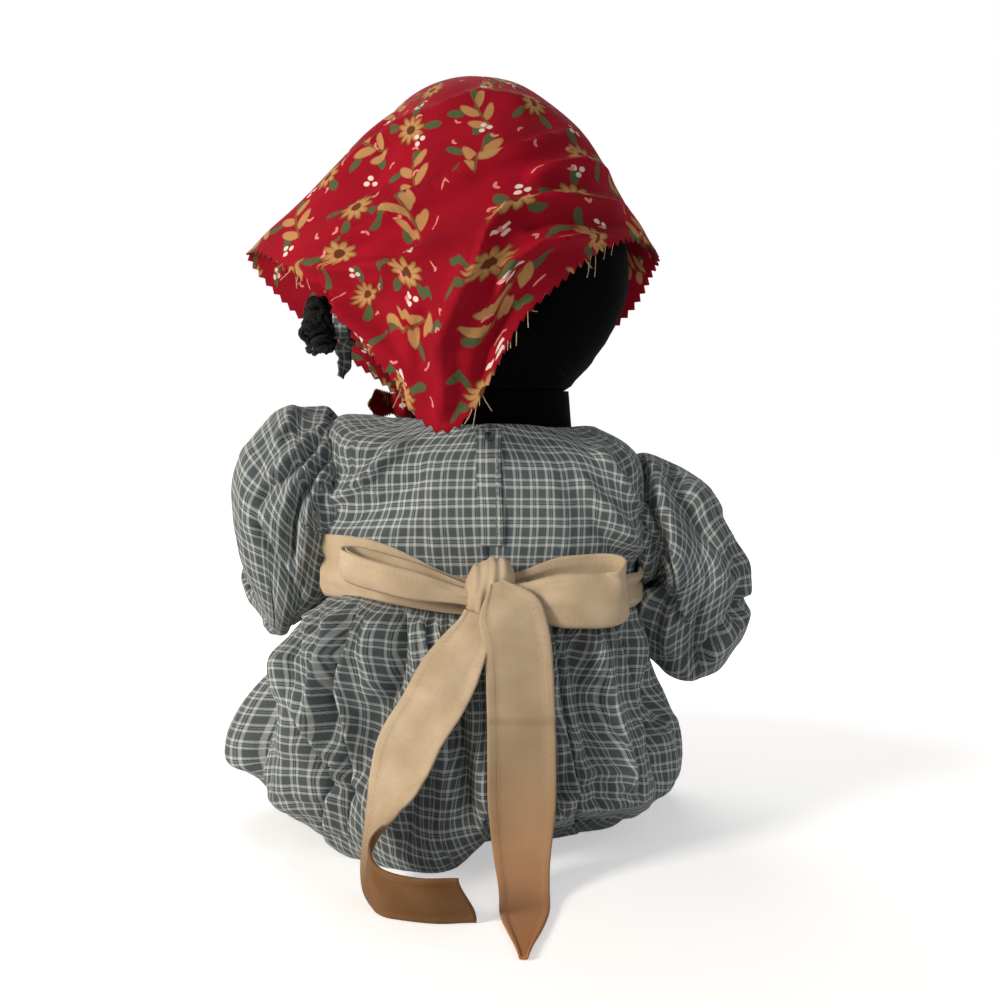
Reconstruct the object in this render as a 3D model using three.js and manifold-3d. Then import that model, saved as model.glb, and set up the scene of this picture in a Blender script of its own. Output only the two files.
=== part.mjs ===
// A seated primitive cloth doll: stuffed head, torso, arms and legs, a plaid dress with set-in sleeves,
// a half apron tied in a bow at the back, and a red kerchief tied under the chin over two pigtails.
// Millimetres, +Z up. The doll sits on the floor plane z = 0 and faces +Y, so +X is its right hand.
import * as THREE from "three";
import Module from "manifold-3d";
import { mergeVertices } from "three/addons/utils/BufferGeometryUtils.js";

const wasm = await Module();
wasm.setup();

// Cloth and clearances
const CLOTH = 1.2; // dress, apron and kerchief cotton, with its turned hem
const BODY_CLOTH = 1.0; // skin cloth of the stuffed pieces
const GAP = 0.4; // between layers that lie on each other
const SEWN = 0.15; // between a skin and what is sewn onto it
const FILL_CLEARANCE = 0.9; // between a skin and its filling

// Torso and neck
const HIP_HEIGHT = 32;
const HIP_HALF_WIDTH = 56;
const HIP_HALF_DEPTH = 45;
const WAIST_HEIGHT = 97;
const WAIST_HALF_WIDTH = 54;
const WAIST_HALF_DEPTH = 43;
const CHEST_HEIGHT = 135;
const CHEST_HALF_WIDTH = 54;
const CHEST_HALF_DEPTH = 42;
const SHOULDER_HEIGHT = 152;
const SHOULDER_SLOPE = 8;
const NECK_RADIUS = 36;
const NECK_LENGTH = 26;
const TRUNK_POWER = 2.8; // squareness of the trunk's section

// Head, measured from the top of the neck
const HEAD_HALF_WIDTH = 59;
const HEAD_HALF_DEPTH = 58;
const CHEEK_RISE = 42; // the widest level
const HEAD_RISE = 129; // the top
const HEAD_OPENING = 31; // radius of the sewn edge
const CROWN_POWER = 2.15; // fullness of the head above the cheeks, up and sideways
const CROWN_SIDE_POWER = 2;
const HEAD_TURN = 18; // degrees to the doll's left

// Face
const EYE_RADIUS = 4.6;
const EYE_THICKNESS = 2.2;
const EYE_ANGLE = 23; // degrees either side of the nose
const EYE_RISE = 53;
const MOUTH_RISE = 27;
const MOUTH_ANGLE = 13;
const THREAD_RADIUS = 0.8;

// Pigtails
const PIGTAIL_ANGLE_LEFT = 106; // degrees from the back of the head
const PIGTAIL_ANGLE_RIGHT = 136; // it falls in front of the kerchief
const PIGTAIL_RISE = 30;
const PIGTAIL_STALK = 6.5; // radius under the tie
const PIGTAIL_LOBE = 11;
const TIE_WIDTH = 7;
const TIE_END_LENGTH = 17;

// Kerchief
const KERCHIEF_STAND = 2; // least distance over the head
const KERCHIEF_FLARE = 50; // reach of the left fold past the head
const KERCHIEF_TIP_DROP = 20; // back point below the top of the neck
const KERCHIEF_TIP_STAND = 35;
const KERCHIEF_CHIN = 20; // stand of its tips under the chin
const KERCHIEF_FOLD = 1.8; // depth of its draped folds
const KNOT_RADIUS = 7.5;
const KNOT_ANGLE = -156; // degrees from the back of the head
const KNOT_END_LENGTH = 21;
const KNOT_END_WIDTH = 17;

// Bodice
const BODICE_EASE = 6.5; // room over the torso
const ARMHOLE_RADIUS = 22.5;
const NECKLINE_EASE = 4.5;
const NECKLINE_RISE = 5.5; // over the base of the neck
const PLACKET_WIDTH = 11;
const SNAP_RADIUS = 2.6;

// Skirt
const SKIRT_FOLDS = 14;
const SKIRT_BULGE = 29; // how far it stands past the waist at the sides
const SKIRT_BACK_BULGE = 32;
const SKIRT_LAP = 66; // how far the lap reaches past the waist
const SKIRT_FOLD = 0.034; // share of the radius
const SKIRT_LEFT_LOBE = 31; // the skirt spreads further on the doll's left
const HEM_HEIGHT = 53; // of the front hem, over the legs
const HEM_OPENING = 72; // half its width
const TUCK_EDGE = 30; // front edge of the cloth tucked under the seat

// Apron
const BAND_HEIGHT = 25;
const BAND_DIP = 0.6; // share by which it narrows under the arms
const APRON_SPREAD = 58; // degrees either side of the front
const BOW_REACH_LEFT = 62;
const BOW_REACH_RIGHT = 56;
const BOW_DEPTH = 9; // opening of a loop
const SASH_WIDTH = 26;
const KNOT_SIZE = 11;
const KNOT_WIDE = 0.92;
const KNOT_DEEP = 0.72;
const TAIL_CLEARANCE = 3; // from the skirt's folds
const TAIL_SPREAD_RIGHT = 12; // from the middle to the hanging tail
const TAIL_SPREAD_LEFT = 47;
const TAIL_REACH_RIGHT = 79; // of its end along the floor, from the skirt
const TAIL_REACH_LEFT = 46;
const TAIL_CURL = 41; // of the left tail's end, back to the middle

// Arms
const ARM_RADIUS = 13.5;
const WRIST_RADIUS = 10;
const HAND_LENGTH = 34;
const HAND_HALF_WIDTH = 13;
const HAND_HALF_THICKNESS = 8;
const THUMB_RADIUS = 5;
const ELBOW_KNUCKLE = 4; // half the pinched seam at the elbow
const ARM_BEND = 28; // radius of the curve from the shoulder
const ELBOW_BEND = 27;
const FOREARM_LENGTH = 34;
const SLEEVE_ELBOW = 25;
const SLEEVE_FLATNESS = 0.74; // the sleeve is flatter against the body
const CUFF_WIDTH = 9;
const PUFF_RIGHT = 27;
const PUFF_LEFT = 36;
const PUFF_LIFT_LEFT = 14; // how far the left puff is pushed up
const ARM_RIGHT = { name: "right", side: 1, bend: 76, fall: 80, puff: PUFF_RIGHT, lift: 0 };
const ARM_LEFT = { name: "left", side: -1, bend: 40, fall: 62, puff: PUFF_LEFT, lift: PUFF_LIFT_LEFT };

// Legs
const LEG_SPACING = 31; // half the distance between the hips
const THIGH_RADIUS = 22;
const KNEE_RADIUS = 18;
const ANKLE_RADIUS = 13;
const LEG_LENGTH = 150;
const LEG_SPLAY = 6; // degrees
const FOOT_HEIGHT = 40;
const FOOT_RADIUS = 13.5;
const FLOOR_GAP = 0.2; // under the legs
const HIP_KNUCKLE = 6;

// Materials
const cloth = (color) => new THREE.MeshStandardMaterial({ color, roughness: 0.92, metalness: 0 });
const BLACK_CLOTH = cloth(0x0b0a0a);
const FILLING = cloth(0xe9e6de);
const PLAID = cloth(0x6f7a7e);
const MUSLIN = cloth(0xdcc7a0);
const RED_PRINT = cloth(0xa3101f);
const YARN = cloth(0x111012);
const BUTTON = new THREE.MeshStandardMaterial({ color: 0x6a4a2c, roughness: 0.5, metalness: 0 });
const THREAD = cloth(0x8c3b3b);
const STEEL = new THREE.MeshStandardMaterial({ color: 0x3a3a3c, roughness: 0.35, metalness: 0.9 });

const V = (x, y, z) => new THREE.Vector3(x, y, z);
const rad = THREE.MathUtils.degToRad;
const lerp = THREE.MathUtils.lerp;
const smooth = THREE.MathUtils.smoothstep;

// Closed geometry from points and triangles, with its faces turned outwards.
function closed(points, faces) {
  const geometry = new THREE.BufferGeometry().setFromPoints(points);
  let volume = 0;
  for (let i = 0; i < faces.length; i += 3) {
    const [a, b, c] = [points[faces[i]], points[faces[i + 1]], points[faces[i + 2]]];
    volume += a.dot(b.clone().cross(c));
  }
  geometry.setIndex(volume < 0 ? faces.slice().reverse() : faces);
  return geometry;
}

// Skin over a stack of rings, capped at both ends, or joined end to end as a loop.
function loft(rings, loop = false) {
  const sides = rings[0].length;
  const points = rings.flat();
  const faces = [];
  const bands = loop ? rings.length : rings.length - 1;
  for (let i = 0; i < bands; i++) {
    const a = i * sides;
    const b = ((i + 1) % rings.length) * sides;
    for (let j = 0; j < sides; j++) {
      const k = (j + 1) % sides;
      faces.push(a + j, a + k, b + k, a + j, b + k, b + j);
    }
  }
  if (loop) return closed(points, faces);
  const ends = [
    { first: 0, order: [1, 0] },
    { first: (rings.length - 1) * sides, order: [0, 1] },
  ];
  for (const { first, order } of ends) {
    const middle = V(0, 0, 0);
    for (let j = 0; j < sides; j++) middle.addScaledVector(points[first + j], 1 / sides);
    const centre = points.push(middle) - 1;
    for (let j = 0; j < sides; j++) {
      const rim = [first + j, first + ((j + 1) % sides)];
      faces.push(rim[order[0]], rim[order[1]], centre);
    }
  }
  return closed(points, faces);
}

// A tube wall between two stacks of rings, open at both ends.
const tubeWall = (outer, inner) => loft([...outer, ...inner.slice().reverse()], true);

// A stuffed piece's skin: open at the first ring, closed past the last.
const cup = (outer, inner) => loft([...inner.slice().reverse(), ...outer]);

// A sheet of cloth of some thickness on a grid of points.
function sheet(grid, thickness) {
  const rows = grid.length;
  const columns = grid[0].length;
  const within = (value, count) => THREE.MathUtils.clamp(value, 0, count - 1);
  const at = (i, j) => grid[within(i, rows)][within(j, columns)];
  const points = grid.flat();
  for (let i = 0; i < rows; i++)
    for (let j = 0; j < columns; j++) {
      const along = at(i + 1, j).clone().sub(at(i - 1, j));
      const across = at(i, j + 1).clone().sub(at(i, j - 1));
      const normal = along.cross(across).normalize();
      points.push(grid[i][j].clone().addScaledVector(normal, thickness));
    }
  const below = (i, j) => i * columns + j;
  const above = (i, j) => rows * columns + below(i, j);
  const faces = [];
  const quad = (a, b, c, d) => faces.push(a, b, c, a, c, d);
  for (let i = 0; i + 1 < rows; i++)
    for (let j = 0; j + 1 < columns; j++) {
      quad(above(i, j), above(i + 1, j), above(i + 1, j + 1), above(i, j + 1));
      quad(below(i, j), below(i, j + 1), below(i + 1, j + 1), below(i + 1, j));
    }
  const [m, n] = [rows - 1, columns - 1];
  for (let i = 0; i < m; i++) {
    quad(below(i, 0), below(i + 1, 0), above(i + 1, 0), above(i, 0));
    quad(above(i, n), above(i + 1, n), below(i + 1, n), below(i, n));
  }
  for (let j = 0; j < n; j++) {
    quad(above(0, j), above(0, j + 1), below(0, j + 1), below(0, j));
    quad(below(m, j), below(m, j + 1), above(m, j + 1), above(m, j));
  }
  return closed(points, faces);
}

// Booleans
function solid(geometry) {
  const plain = geometry.clone();
  plain.deleteAttribute("normal");
  plain.deleteAttribute("uv");
  const merged = mergeVertices(plain, 1e-4);
  return new wasm.Manifold(
    new wasm.Mesh({
      numProp: 3,
      vertProperties: merged.attributes.position.array,
      triVerts: new Uint32Array(merged.index.array),
    }),
  );
}

function geometryOf(manifold) {
  const mesh = manifold.getMesh();
  const geometry = new THREE.BufferGeometry();
  geometry.setAttribute("position", new THREE.BufferAttribute(mesh.vertProperties.slice(), 3));
  geometry.setIndex(Array.from(mesh.triVerts));
  return geometry;
}

const cut = (geometry, ...tools) =>
  geometryOf(tools.reduce((left, tool) => left.subtract(solid(tool)), solid(geometry)));
const join = (first, ...others) =>
  geometryOf(others.reduce((sum, other) => sum.add(solid(other)), solid(first)));

const boxBetween = (low, high) =>
  new THREE.BoxGeometry(high.x - low.x, high.y - low.y, high.z - low.z).translate(
    (low.x + high.x) / 2,
    (low.y + high.y) / 2,
    (low.z + high.z) / 2,
  );

const FAR = 400; // past every piece

const doll = new THREE.Group();
function add(group, name, geometry, material) {
  geometry.computeVertexNormals();
  const mesh = new THREE.Mesh(geometry, material);
  mesh.name = name;
  group.add(mesh);
  return mesh;
}

// A level superellipse ring.
function levelRing(z, halfWidth, halfDepth, sides, power) {
  const signed = (value) => Math.sign(value) * Math.abs(value) ** (2 / power);
  return Array.from({ length: sides }, (_, j) => {
    const turn = (2 * Math.PI * j) / sides;
    return V(halfWidth * signed(Math.cos(turn)), halfDepth * signed(Math.sin(turn)), z);
  });
}

// A ring about a point, across two unit directions.
function ringAbout(centre, across, up, radiusAcross, radiusUp, sides) {
  return Array.from({ length: sides }, (_, j) => {
    const turn = (2 * Math.PI * j) / sides;
    return centre
      .clone()
      .addScaledVector(across, radiusAcross * Math.cos(turn))
      .addScaledVector(up, radiusUp * Math.sin(turn));
  });
}

// Torso: one stuffed bag with its neck, open where the head is sewn on
const SEAT = CLOTH + GAP;
const NECK_BASE = SHOULDER_HEIGHT + SHOULDER_SLOPE;
const NECK_TOP = NECK_BASE + NECK_LENGTH;
const torsoProfile = [
  { z: NECK_TOP, width: NECK_RADIUS - 2, depth: NECK_RADIUS - 2, power: 2 },
  { z: NECK_BASE + 6, width: NECK_RADIUS, depth: NECK_RADIUS, power: 2 },
  { z: NECK_BASE - 1, width: NECK_RADIUS + 4, depth: NECK_RADIUS, power: 2 },
  { z: SHOULDER_HEIGHT, width: CHEST_HALF_WIDTH - 2, depth: CHEST_HALF_DEPTH - 4, power: TRUNK_POWER },
  { z: CHEST_HEIGHT, width: CHEST_HALF_WIDTH, depth: CHEST_HALF_DEPTH, power: TRUNK_POWER },
  { z: WAIST_HEIGHT, width: WAIST_HALF_WIDTH, depth: WAIST_HALF_DEPTH, power: TRUNK_POWER },
  { z: HIP_HEIGHT, width: HIP_HALF_WIDTH, depth: HIP_HALF_DEPTH, power: TRUNK_POWER },
  { z: HIP_HEIGHT / 3, width: HIP_HALF_WIDTH - 6, depth: HIP_HALF_DEPTH - 6, power: TRUNK_POWER },
  { z: SEAT, width: HIP_HALF_WIDTH - 18, depth: HIP_HALF_DEPTH - 16, power: TRUNK_POWER },
];

function torsoRings(inset, sides) {
  const last = torsoProfile.length - 1;
  return torsoProfile.map(({ z, width, depth, power }, i) => {
    const level = i === last ? z + inset : z;
    return levelRing(level, width - inset, depth - inset, sides, power);
  });
}

// Legs: a bag with an upright foot, pinched flat at the hip seam and hinged about it
const HIP_SEAM_DEPTH = HIP_HALF_DEPTH - 1;
const LEG_LIFT = THIGH_RADIUS + FLOOR_GAP;
function legPath(side) {
  const start = V(side * LEG_SPACING, HIP_SEAM_DEPTH, LEG_LIFT);
  const ahead = V(side * Math.sin(rad(LEG_SPLAY)), Math.cos(rad(LEG_SPLAY)), 0);
  const point = (share, z) => start.clone().addScaledVector(ahead, LEG_LENGTH * share).setZ(z);
  const onSeam = (share) => start.clone().addScaledVector(ahead, -HIP_KNUCKLE * share);
  const heel = point(1.04, FOOT_RADIUS + FLOOR_GAP);
  return {
    start,
    ahead,
    stations: [
      { at: onSeam(0.95), wide: THIGH_RADIUS - 5, high: HIP_KNUCKLE * 0.31, lean: 0, flat: true },
      { at: onSeam(0.71), wide: THIGH_RADIUS - 4, high: HIP_KNUCKLE * 0.71, lean: 0, flat: true },
      { at: start, wide: THIGH_RADIUS - 3, high: HIP_KNUCKLE, lean: 0, flat: true },
      { at: point(0.1, LEG_LIFT), wide: THIGH_RADIUS - 1, high: THIGH_RADIUS * 0.72, lean: 0 },
      { at: point(0.24, LEG_LIFT), wide: THIGH_RADIUS, high: THIGH_RADIUS, lean: 0 },
      { at: point(0.55, KNEE_RADIUS + FLOOR_GAP), wide: KNEE_RADIUS, high: KNEE_RADIUS, lean: 0 },
      { at: point(0.75, KNEE_RADIUS + FLOOR_GAP), wide: KNEE_RADIUS, high: KNEE_RADIUS, lean: 0 },
      { at: point(0.93, ANKLE_RADIUS + FLOOR_GAP + 1), wide: ANKLE_RADIUS, high: ANKLE_RADIUS, lean: 18 },
      { at: heel, wide: FOOT_RADIUS, high: FOOT_RADIUS * 1.15, lean: 52 },
      { at: point(1.09, FOOT_HEIGHT * 0.62), wide: FOOT_RADIUS, high: FOOT_RADIUS, lean: 86 },
      { at: point(1.11, FOOT_HEIGHT - 5), wide: FOOT_RADIUS - 1, high: FOOT_RADIUS - 2, lean: 92 },
      { at: point(1.11, FOOT_HEIGHT), wide: FOOT_RADIUS - 7, high: FOOT_RADIUS - 8, lean: 92 },
    ],
  };
}

// Rings of a leg. The hip end is a flat upright roll, round about the seam that it swings on.
function legRings(side, inset, sides) {
  const { ahead, stations } = legPath(side);
  const sideways = V(ahead.y, -ahead.x, 0);
  const last = stations.length - 1;
  return stations.map(({ at, wide, high, lean, flat }, i) => {
    const up = V(0, 0, Math.cos(rad(lean))).addScaledVector(ahead, -Math.sin(rad(lean)));
    const along = V(0, 0, Math.sin(rad(lean))).addScaledVector(ahead, Math.cos(rad(lean)));
    const centre = at.clone().addScaledVector(along, i === last ? -inset : 0);
    const across = flat ? high : wide;
    const tall = flat ? wide : high;
    return ringAbout(centre, sideways, up, across - inset, tall - inset, sides);
  });
}

const hipPost = (side, radius) =>
  new THREE.CylinderGeometry(radius, radius, 4 * THIGH_RADIUS, 24)
    .rotateX(Math.PI / 2)
    .translate(side * LEG_SPACING, HIP_SEAM_DEPTH, LEG_LIFT);

function buildTorso() {
  const sockets = [1, -1].map((side) => hipPost(side, HIP_KNUCKLE + GAP));
  const fillSockets = [1, -1].map((side) => hipPost(side, HIP_KNUCKLE + GAP + FILL_CLEARANCE));
  const fillInset = BODY_CLOTH + FILL_CLEARANCE;
  const skin = cup(torsoRings(0, 20), torsoRings(BODY_CLOTH, 20));
  add(doll, "torso_skin", cut(skin, ...sockets), BLACK_CLOTH);
  add(doll, "torso_filling", cut(loft(torsoRings(fillInset, 10)), ...fillSockets), FILLING);
}

function buildLeg(name, side) {
  const fillInset = BODY_CLOTH + FILL_CLEARANCE;
  const skin = cup(legRings(side, 0, 14), legRings(side, BODY_CLOTH, 14));
  add(doll, `leg_skin_${name}`, skin, BLACK_CLOTH);
  add(doll, `leg_filling_${name}`, loft(legRings(side, fillInset, 7).slice(3)), FILLING);
}

// Head: a stuffed egg, widest at the cheeks, in its own turned group
const headLevel = NECK_TOP + GAP;
const head = new THREE.Group();
head.position.z = headLevel;
head.rotation.z = rad(HEAD_TURN);
doll.add(head);

// Share of the head's greatest half width at a height over its sewn edge.
function headShare(rise) {
  const opening = HEAD_OPENING / HEAD_HALF_WIDTH;
  if (rise <= CHEEK_RISE) {
    const fall = THREE.MathUtils.clamp((CHEEK_RISE - rise) / CHEEK_RISE, 0, 1);
    return opening + (1 - opening) * Math.sqrt(1 - fall ** 2.3);
  }
  const climb = THREE.MathUtils.clamp((rise - CHEEK_RISE) / (HEAD_RISE - CHEEK_RISE), 0, 1);
  return (1 - climb ** CROWN_POWER) ** (1 / CROWN_SIDE_POWER);
}

function headRings(inset, sides, bands) {
  const top = HEAD_RISE - inset;
  return Array.from({ length: bands + 1 }, (_, i) => {
    const rise = top * Math.sin((Math.PI / 2) * 0.93 * (i / bands));
    const share = headShare((rise * HEAD_RISE) / top);
    return levelRing(rise, share * HEAD_HALF_WIDTH - inset, share * HEAD_HALF_DEPTH - inset, sides, 2);
  });
}

// Direction around the head, measured in degrees from its back towards its right.
const around = (degrees) => V(Math.sin(rad(degrees)), -Math.cos(rad(degrees)), 0);

// A point off the head's surface: angle from the back, rise, and how far it stands off.
function offHead(degrees, rise, stand) {
  const share = headShare(rise);
  const dir = around(degrees);
  const radius = Math.hypot(share * HEAD_HALF_WIDTH * dir.x, share * HEAD_HALF_DEPTH * dir.y);
  return dir.multiplyScalar(radius + stand).setZ(rise);
}

function buildHead() {
  const fillInset = BODY_CLOTH + FILL_CLEARANCE;
  add(head, "head_skin", cup(headRings(0, 24, 9), headRings(BODY_CLOTH, 24, 9)), BLACK_CLOTH);
  add(head, "head_filling", loft(headRings(fillInset, 12, 9)), FILLING);
}

// Face: two sewn buttons and a stitched mouth
function buildFace() {
  const FRONT = 180;
  for (const [name, side] of [["right", -1], ["left", 1]]) {
    const angle = FRONT + side * EYE_ANGLE;
    const eye = new THREE.CylinderGeometry(EYE_RADIUS * 0.82, EYE_RADIUS, EYE_THICKNESS, 20);
    const level = offHead(angle, EYE_RISE, 0);
    const above = offHead(angle, EYE_RISE + 6, 0);
    const below = offHead(angle, EYE_RISE - 6, 0);
    const slope = above.sub(below);
    const beside = offHead(angle + 5, EYE_RISE, 0).sub(offHead(angle - 5, EYE_RISE, 0));
    const normal = beside.cross(slope).normalize();
    const mesh = add(head, `eye_button_${name}`, eye, BUTTON);
    mesh.quaternion.setFromUnitVectors(V(0, 1, 0), normal);
    mesh.position.copy(level).addScaledVector(normal, EYE_THICKNESS / 2 + SEWN);
  }
  const points = [-1, -0.5, 0, 0.5, 1].map((t) =>
    offHead(FRONT + t * MOUTH_ANGLE, MOUTH_RISE + 2.4 * t * t, THREAD_RADIUS + SEWN),
  );
  const section = new THREE.Shape().absarc(0, 0, THREAD_RADIUS, 0, 2 * Math.PI);
  const mouth = new THREE.ExtrudeGeometry(section, {
    extrudePath: new THREE.CatmullRomCurve3(points),
    steps: 12,
    curveSegments: 3,
  });
  add(head, "mouth_stitch", mouth, THREAD);
}

// Pigtails: a bunch of yarn drawn in under a torn strip of plaid
function buildPigtail(name, angle) {
  const out = around(angle);
  const root = offHead(angle, PIGTAIL_RISE, GAP);
  const reach = 2 * BODY_CLOTH + TIE_WIDTH;
  const sideways = V(-out.y, out.x, 0);
  const lobe = (distance, drop, swing, radius) => {
    const at = root.clone().addScaledVector(out, distance).addScaledVector(sideways, swing);
    return new THREE.SphereGeometry(radius, 9, 6)
      .scale(1, 1, 0.92)
      .translate(at.x, at.y, at.z - drop);
  };
  const stalkLength = reach + PIGTAIL_LOBE + 2 * BODY_CLOTH;
  const stalk = new THREE.CylinderGeometry(PIGTAIL_STALK, PIGTAIL_STALK, stalkLength, 12)
    .rotateZ(-Math.PI / 2)
    .translate((reach + PIGTAIL_LOBE) / 2 - BODY_CLOTH, 0, 0)
    .rotateZ(Math.atan2(out.y, out.x))
    .translate(...root.toArray());
  const centre = reach + 0.8 * PIGTAIL_LOBE;
  const yarn = join(
    stalk,
    lobe(centre, 0, 0, PIGTAIL_LOBE),
    lobe(centre + PIGTAIL_LOBE * 0.27, PIGTAIL_LOBE, PIGTAIL_LOBE * 0.55, PIGTAIL_LOBE * 0.9),
    lobe(centre - PIGTAIL_LOBE * 0.18, PIGTAIL_LOBE * 1.27, -PIGTAIL_LOBE * 0.64, PIGTAIL_LOBE * 0.82),
  );
  const headTool = loft(headRings(-GAP, 24, 9));
  add(head, `pigtail_${name}`, cut(yarn, headTool), YARN);

  const tieInner = PIGTAIL_STALK + GAP;
  const tieProfile = [
    new THREE.Vector2(tieInner, 0),
    new THREE.Vector2(tieInner + CLOTH, 0),
    new THREE.Vector2(tieInner + CLOTH, TIE_WIDTH - 2 * GAP),
    new THREE.Vector2(tieInner, TIE_WIDTH - 2 * GAP),
    new THREE.Vector2(tieInner, 0),
  ];
  const band = new THREE.LatheGeometry(tieProfile, 12)
    .rotateZ(-Math.PI / 2)
    .rotateZ(Math.atan2(out.y, out.x))
    .translate(...root.clone().addScaledVector(out, BODY_CLOTH + GAP).toArray());
  const end = boxBetween(
    V(0, -TIE_WIDTH / 2, -tieInner - TIE_END_LENGTH),
    V(CLOTH, TIE_WIDTH / 2, -tieInner - CLOTH / 3),
  )
    .rotateZ(Math.atan2(out.y, out.x))
    .translate(...root.clone().addScaledVector(out, BODY_CLOTH + 2 * GAP).toArray());
  add(head, `pigtail_tie_${name}`, cut(join(band, end), headTool), PLAID);
}

// Kerchief: a triangle of cotton drawn over the head and tied under the chin.
// Four rails cross it from its front edge to its back edge. Each point is an angle from the back, a rise
// as a share of the head's and a stand off the head. The left side flares and the back point hangs askew.
function kerchiefRails() {
  const s = KERCHIEF_STAND;
  const flare = KERCHIEF_FLARE;
  const chin = KERCHIEF_CHIN;
  const tip = -KERCHIEF_TIP_DROP / HEAD_RISE;
  const front = [
    [-152, 0, chin], [-128, 0.28, s + 1], [-128, 0.56, s], [-150, 0.73, s], [-172, 0.79, s],
    [180, 0.79, s], [164, 0.775, s], [134, 0.65, s], [118, 0.217, s + 1], [203, 0, chin],
  ];
  const crown = [
    [-151, -0.008, chin + 1], [-126, 0.264, flare / 3], [-108, 0.56, s + 6], [-88, 0.84, s],
    [-40, 1.01, 3 * s], [0, 1.03, 3 * s], [45, 1.0, s], [88, 0.8, s], [115, 0.25, s + 4],
    [201, -0.008, chin + 1],
  ];
  const nape = [
    [-150, -0.016, chin + 2], [-129, 0.233, flare * 0.6], [-115, 0.434, flare * 0.78],
    [-85, 0.5, s + 12], [-34, 0.45, s + 4], [0, 0.574, s + 2], [42, 0.62, s], [88, 0.51, s + 4],
    [112, 0.2, s + 6], [201, -0.016, chin + 2],
  ];
  const back = [
    [-150, -0.023, chin + 3], [-131, 0.186, flare * 0.66], [-118, 0.364, flare],
    [-84, 0.233, s + 13], [-34, tip, KERCHIEF_TIP_STAND], [-4, 0.233, s + 5], [40, 0.465, s + 2],
    [89, 0.42, s + 15], [111, 0.163, s + 7], [201, -0.023, chin + 3],
  ];
  const onRail = ([degrees, share, stand]) => offHead(degrees, share * HEAD_RISE, stand);
  return [front, crown, nape, back].map(
    (rail) => new THREE.CatmullRomCurve3(rail.map(onRail), false, "catmullrom", 0.5),
  );
}

// Moves a point out to the kerchief's least distance from the head.
function clearOfHead(point) {
  const flat = Math.hypot(point.x, point.y);
  const wide = HEAD_HALF_WIDTH + KERCHIEF_STAND;
  const above = point.z - CHEEK_RISE;
  if (above <= 0) {
    const least = headShare(point.z) * HEAD_HALF_WIDTH + KERCHIEF_STAND;
    const out = Math.max(1, least / flat);
    return point.multiply(V(out, out, 1));
  }
  const high = HEAD_RISE + KERCHIEF_STAND - CHEEK_RISE;
  const within = (flat / wide) ** CROWN_SIDE_POWER + (above / high) ** CROWN_POWER;
  const out = Math.max(1, within ** (-1 / CROWN_SIDE_POWER));
  return point.set(point.x * out, point.y * out, CHEEK_RISE + above * out);
}

function kerchiefGrid(alongSteps, acrossSteps) {
  const rails = kerchiefRails();
  return Array.from({ length: alongSteps + 1 }, (_, i) => {
    const s = i / alongSteps;
    const crossing = rails.map((rail) => rail.getPoint(s));
    const strip = new THREE.CatmullRomCurve3(crossing, false, "catmullrom", 0.5);
    return Array.from({ length: acrossSteps + 1 }, (_, j) => {
      const t = j / acrossSteps;
      const point = clearOfHead(strip.getPoint(t));
      const flat = Math.hypot(point.x, point.y);
      const fold = KERCHIEF_FOLD * t * t * Math.sin(Math.PI * s) * (1 + Math.sin(s * 46));
      const out = (flat + fold) / flat;
      return point.multiply(V(out, out, 1));
    });
  });
}

function buildKerchief() {
  add(head, "kerchief", sheet(kerchiefGrid(40, 9), -CLOTH), RED_PRINT);

  const middle = offHead(KNOT_ANGLE, -KNOT_RADIUS, KERCHIEF_CHIN + KNOT_RADIUS + CLOTH);
  const out = around(KNOT_ANGLE);
  const knot = new THREE.SphereGeometry(KNOT_RADIUS, 12, 9).translate(...middle.toArray());
  const ends = [1, -1].map((side) => {
    const sideways = V(-out.y, out.x, 0).multiplyScalar(side);
    const rows = [0, 0.5, 1].map((t) => {
      const width = lerp(5, KNOT_END_WIDTH, Math.sqrt(t)) * (t === 1 ? 0.35 : 1);
      const at = middle
        .clone()
        .addScaledVector(sideways, lerp(2, KNOT_END_LENGTH, t))
        .addScaledVector(out, lerp(2, 0, t))
        .add(V(0, 0, -3 * t));
      return [at.clone().add(V(0, 0, width / 2)), at.clone().add(V(0, 0, -width / 2))];
    });
    return sheet(rows, CLOTH * side);
  });
  add(head, "kerchief_knot", join(knot, ...ends), RED_PRINT);
}

// Bodice: front and two backs, cut from one shell that is loose over the torso
const BODICE_FLOOR = WAIST_HEIGHT + GAP;
const ARMHOLE_HEIGHT = CHEST_HEIGHT;
const MID_HEIGHT = lerp(WAIST_HEIGHT, CHEST_HEIGHT, 0.55);
const EASE_WIDTH = CHEST_HALF_WIDTH + BODICE_EASE;
const EASE_DEPTH = CHEST_HALF_DEPTH + BODICE_EASE / 2;
const WAIST_EASE_WIDTH = WAIST_HALF_WIDTH + BODICE_EASE;
const WAIST_EASE_DEPTH = WAIST_HALF_DEPTH + BODICE_EASE / 2;
const NECKLINE = NECK_RADIUS + NECKLINE_EASE;
const NECKLINE_HEIGHT = NECK_BASE + NECKLINE_RISE;
const bodiceProfile = [
  { z: BODICE_FLOOR, width: WAIST_EASE_WIDTH, depth: WAIST_EASE_DEPTH, power: 2.6, lift: 0 },
  { z: MID_HEIGHT, width: EASE_WIDTH + 1, depth: EASE_DEPTH + 1, power: 2.8, lift: 0 },
  { z: CHEST_HEIGHT, width: EASE_WIDTH, depth: EASE_DEPTH, power: 3, lift: 0 },
  { z: SHOULDER_HEIGHT, width: EASE_WIDTH - 2, depth: CHEST_HALF_DEPTH + 1, power: 3, lift: 0 },
  { z: NECK_BASE - 1, width: CHEST_HALF_WIDTH, depth: CHEST_HALF_DEPTH - 1, power: 2.6, lift: 0.8 },
  { z: NECKLINE_HEIGHT, width: NECKLINE + 2, depth: NECKLINE, power: 2.1, lift: 0.5 },
];

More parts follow.
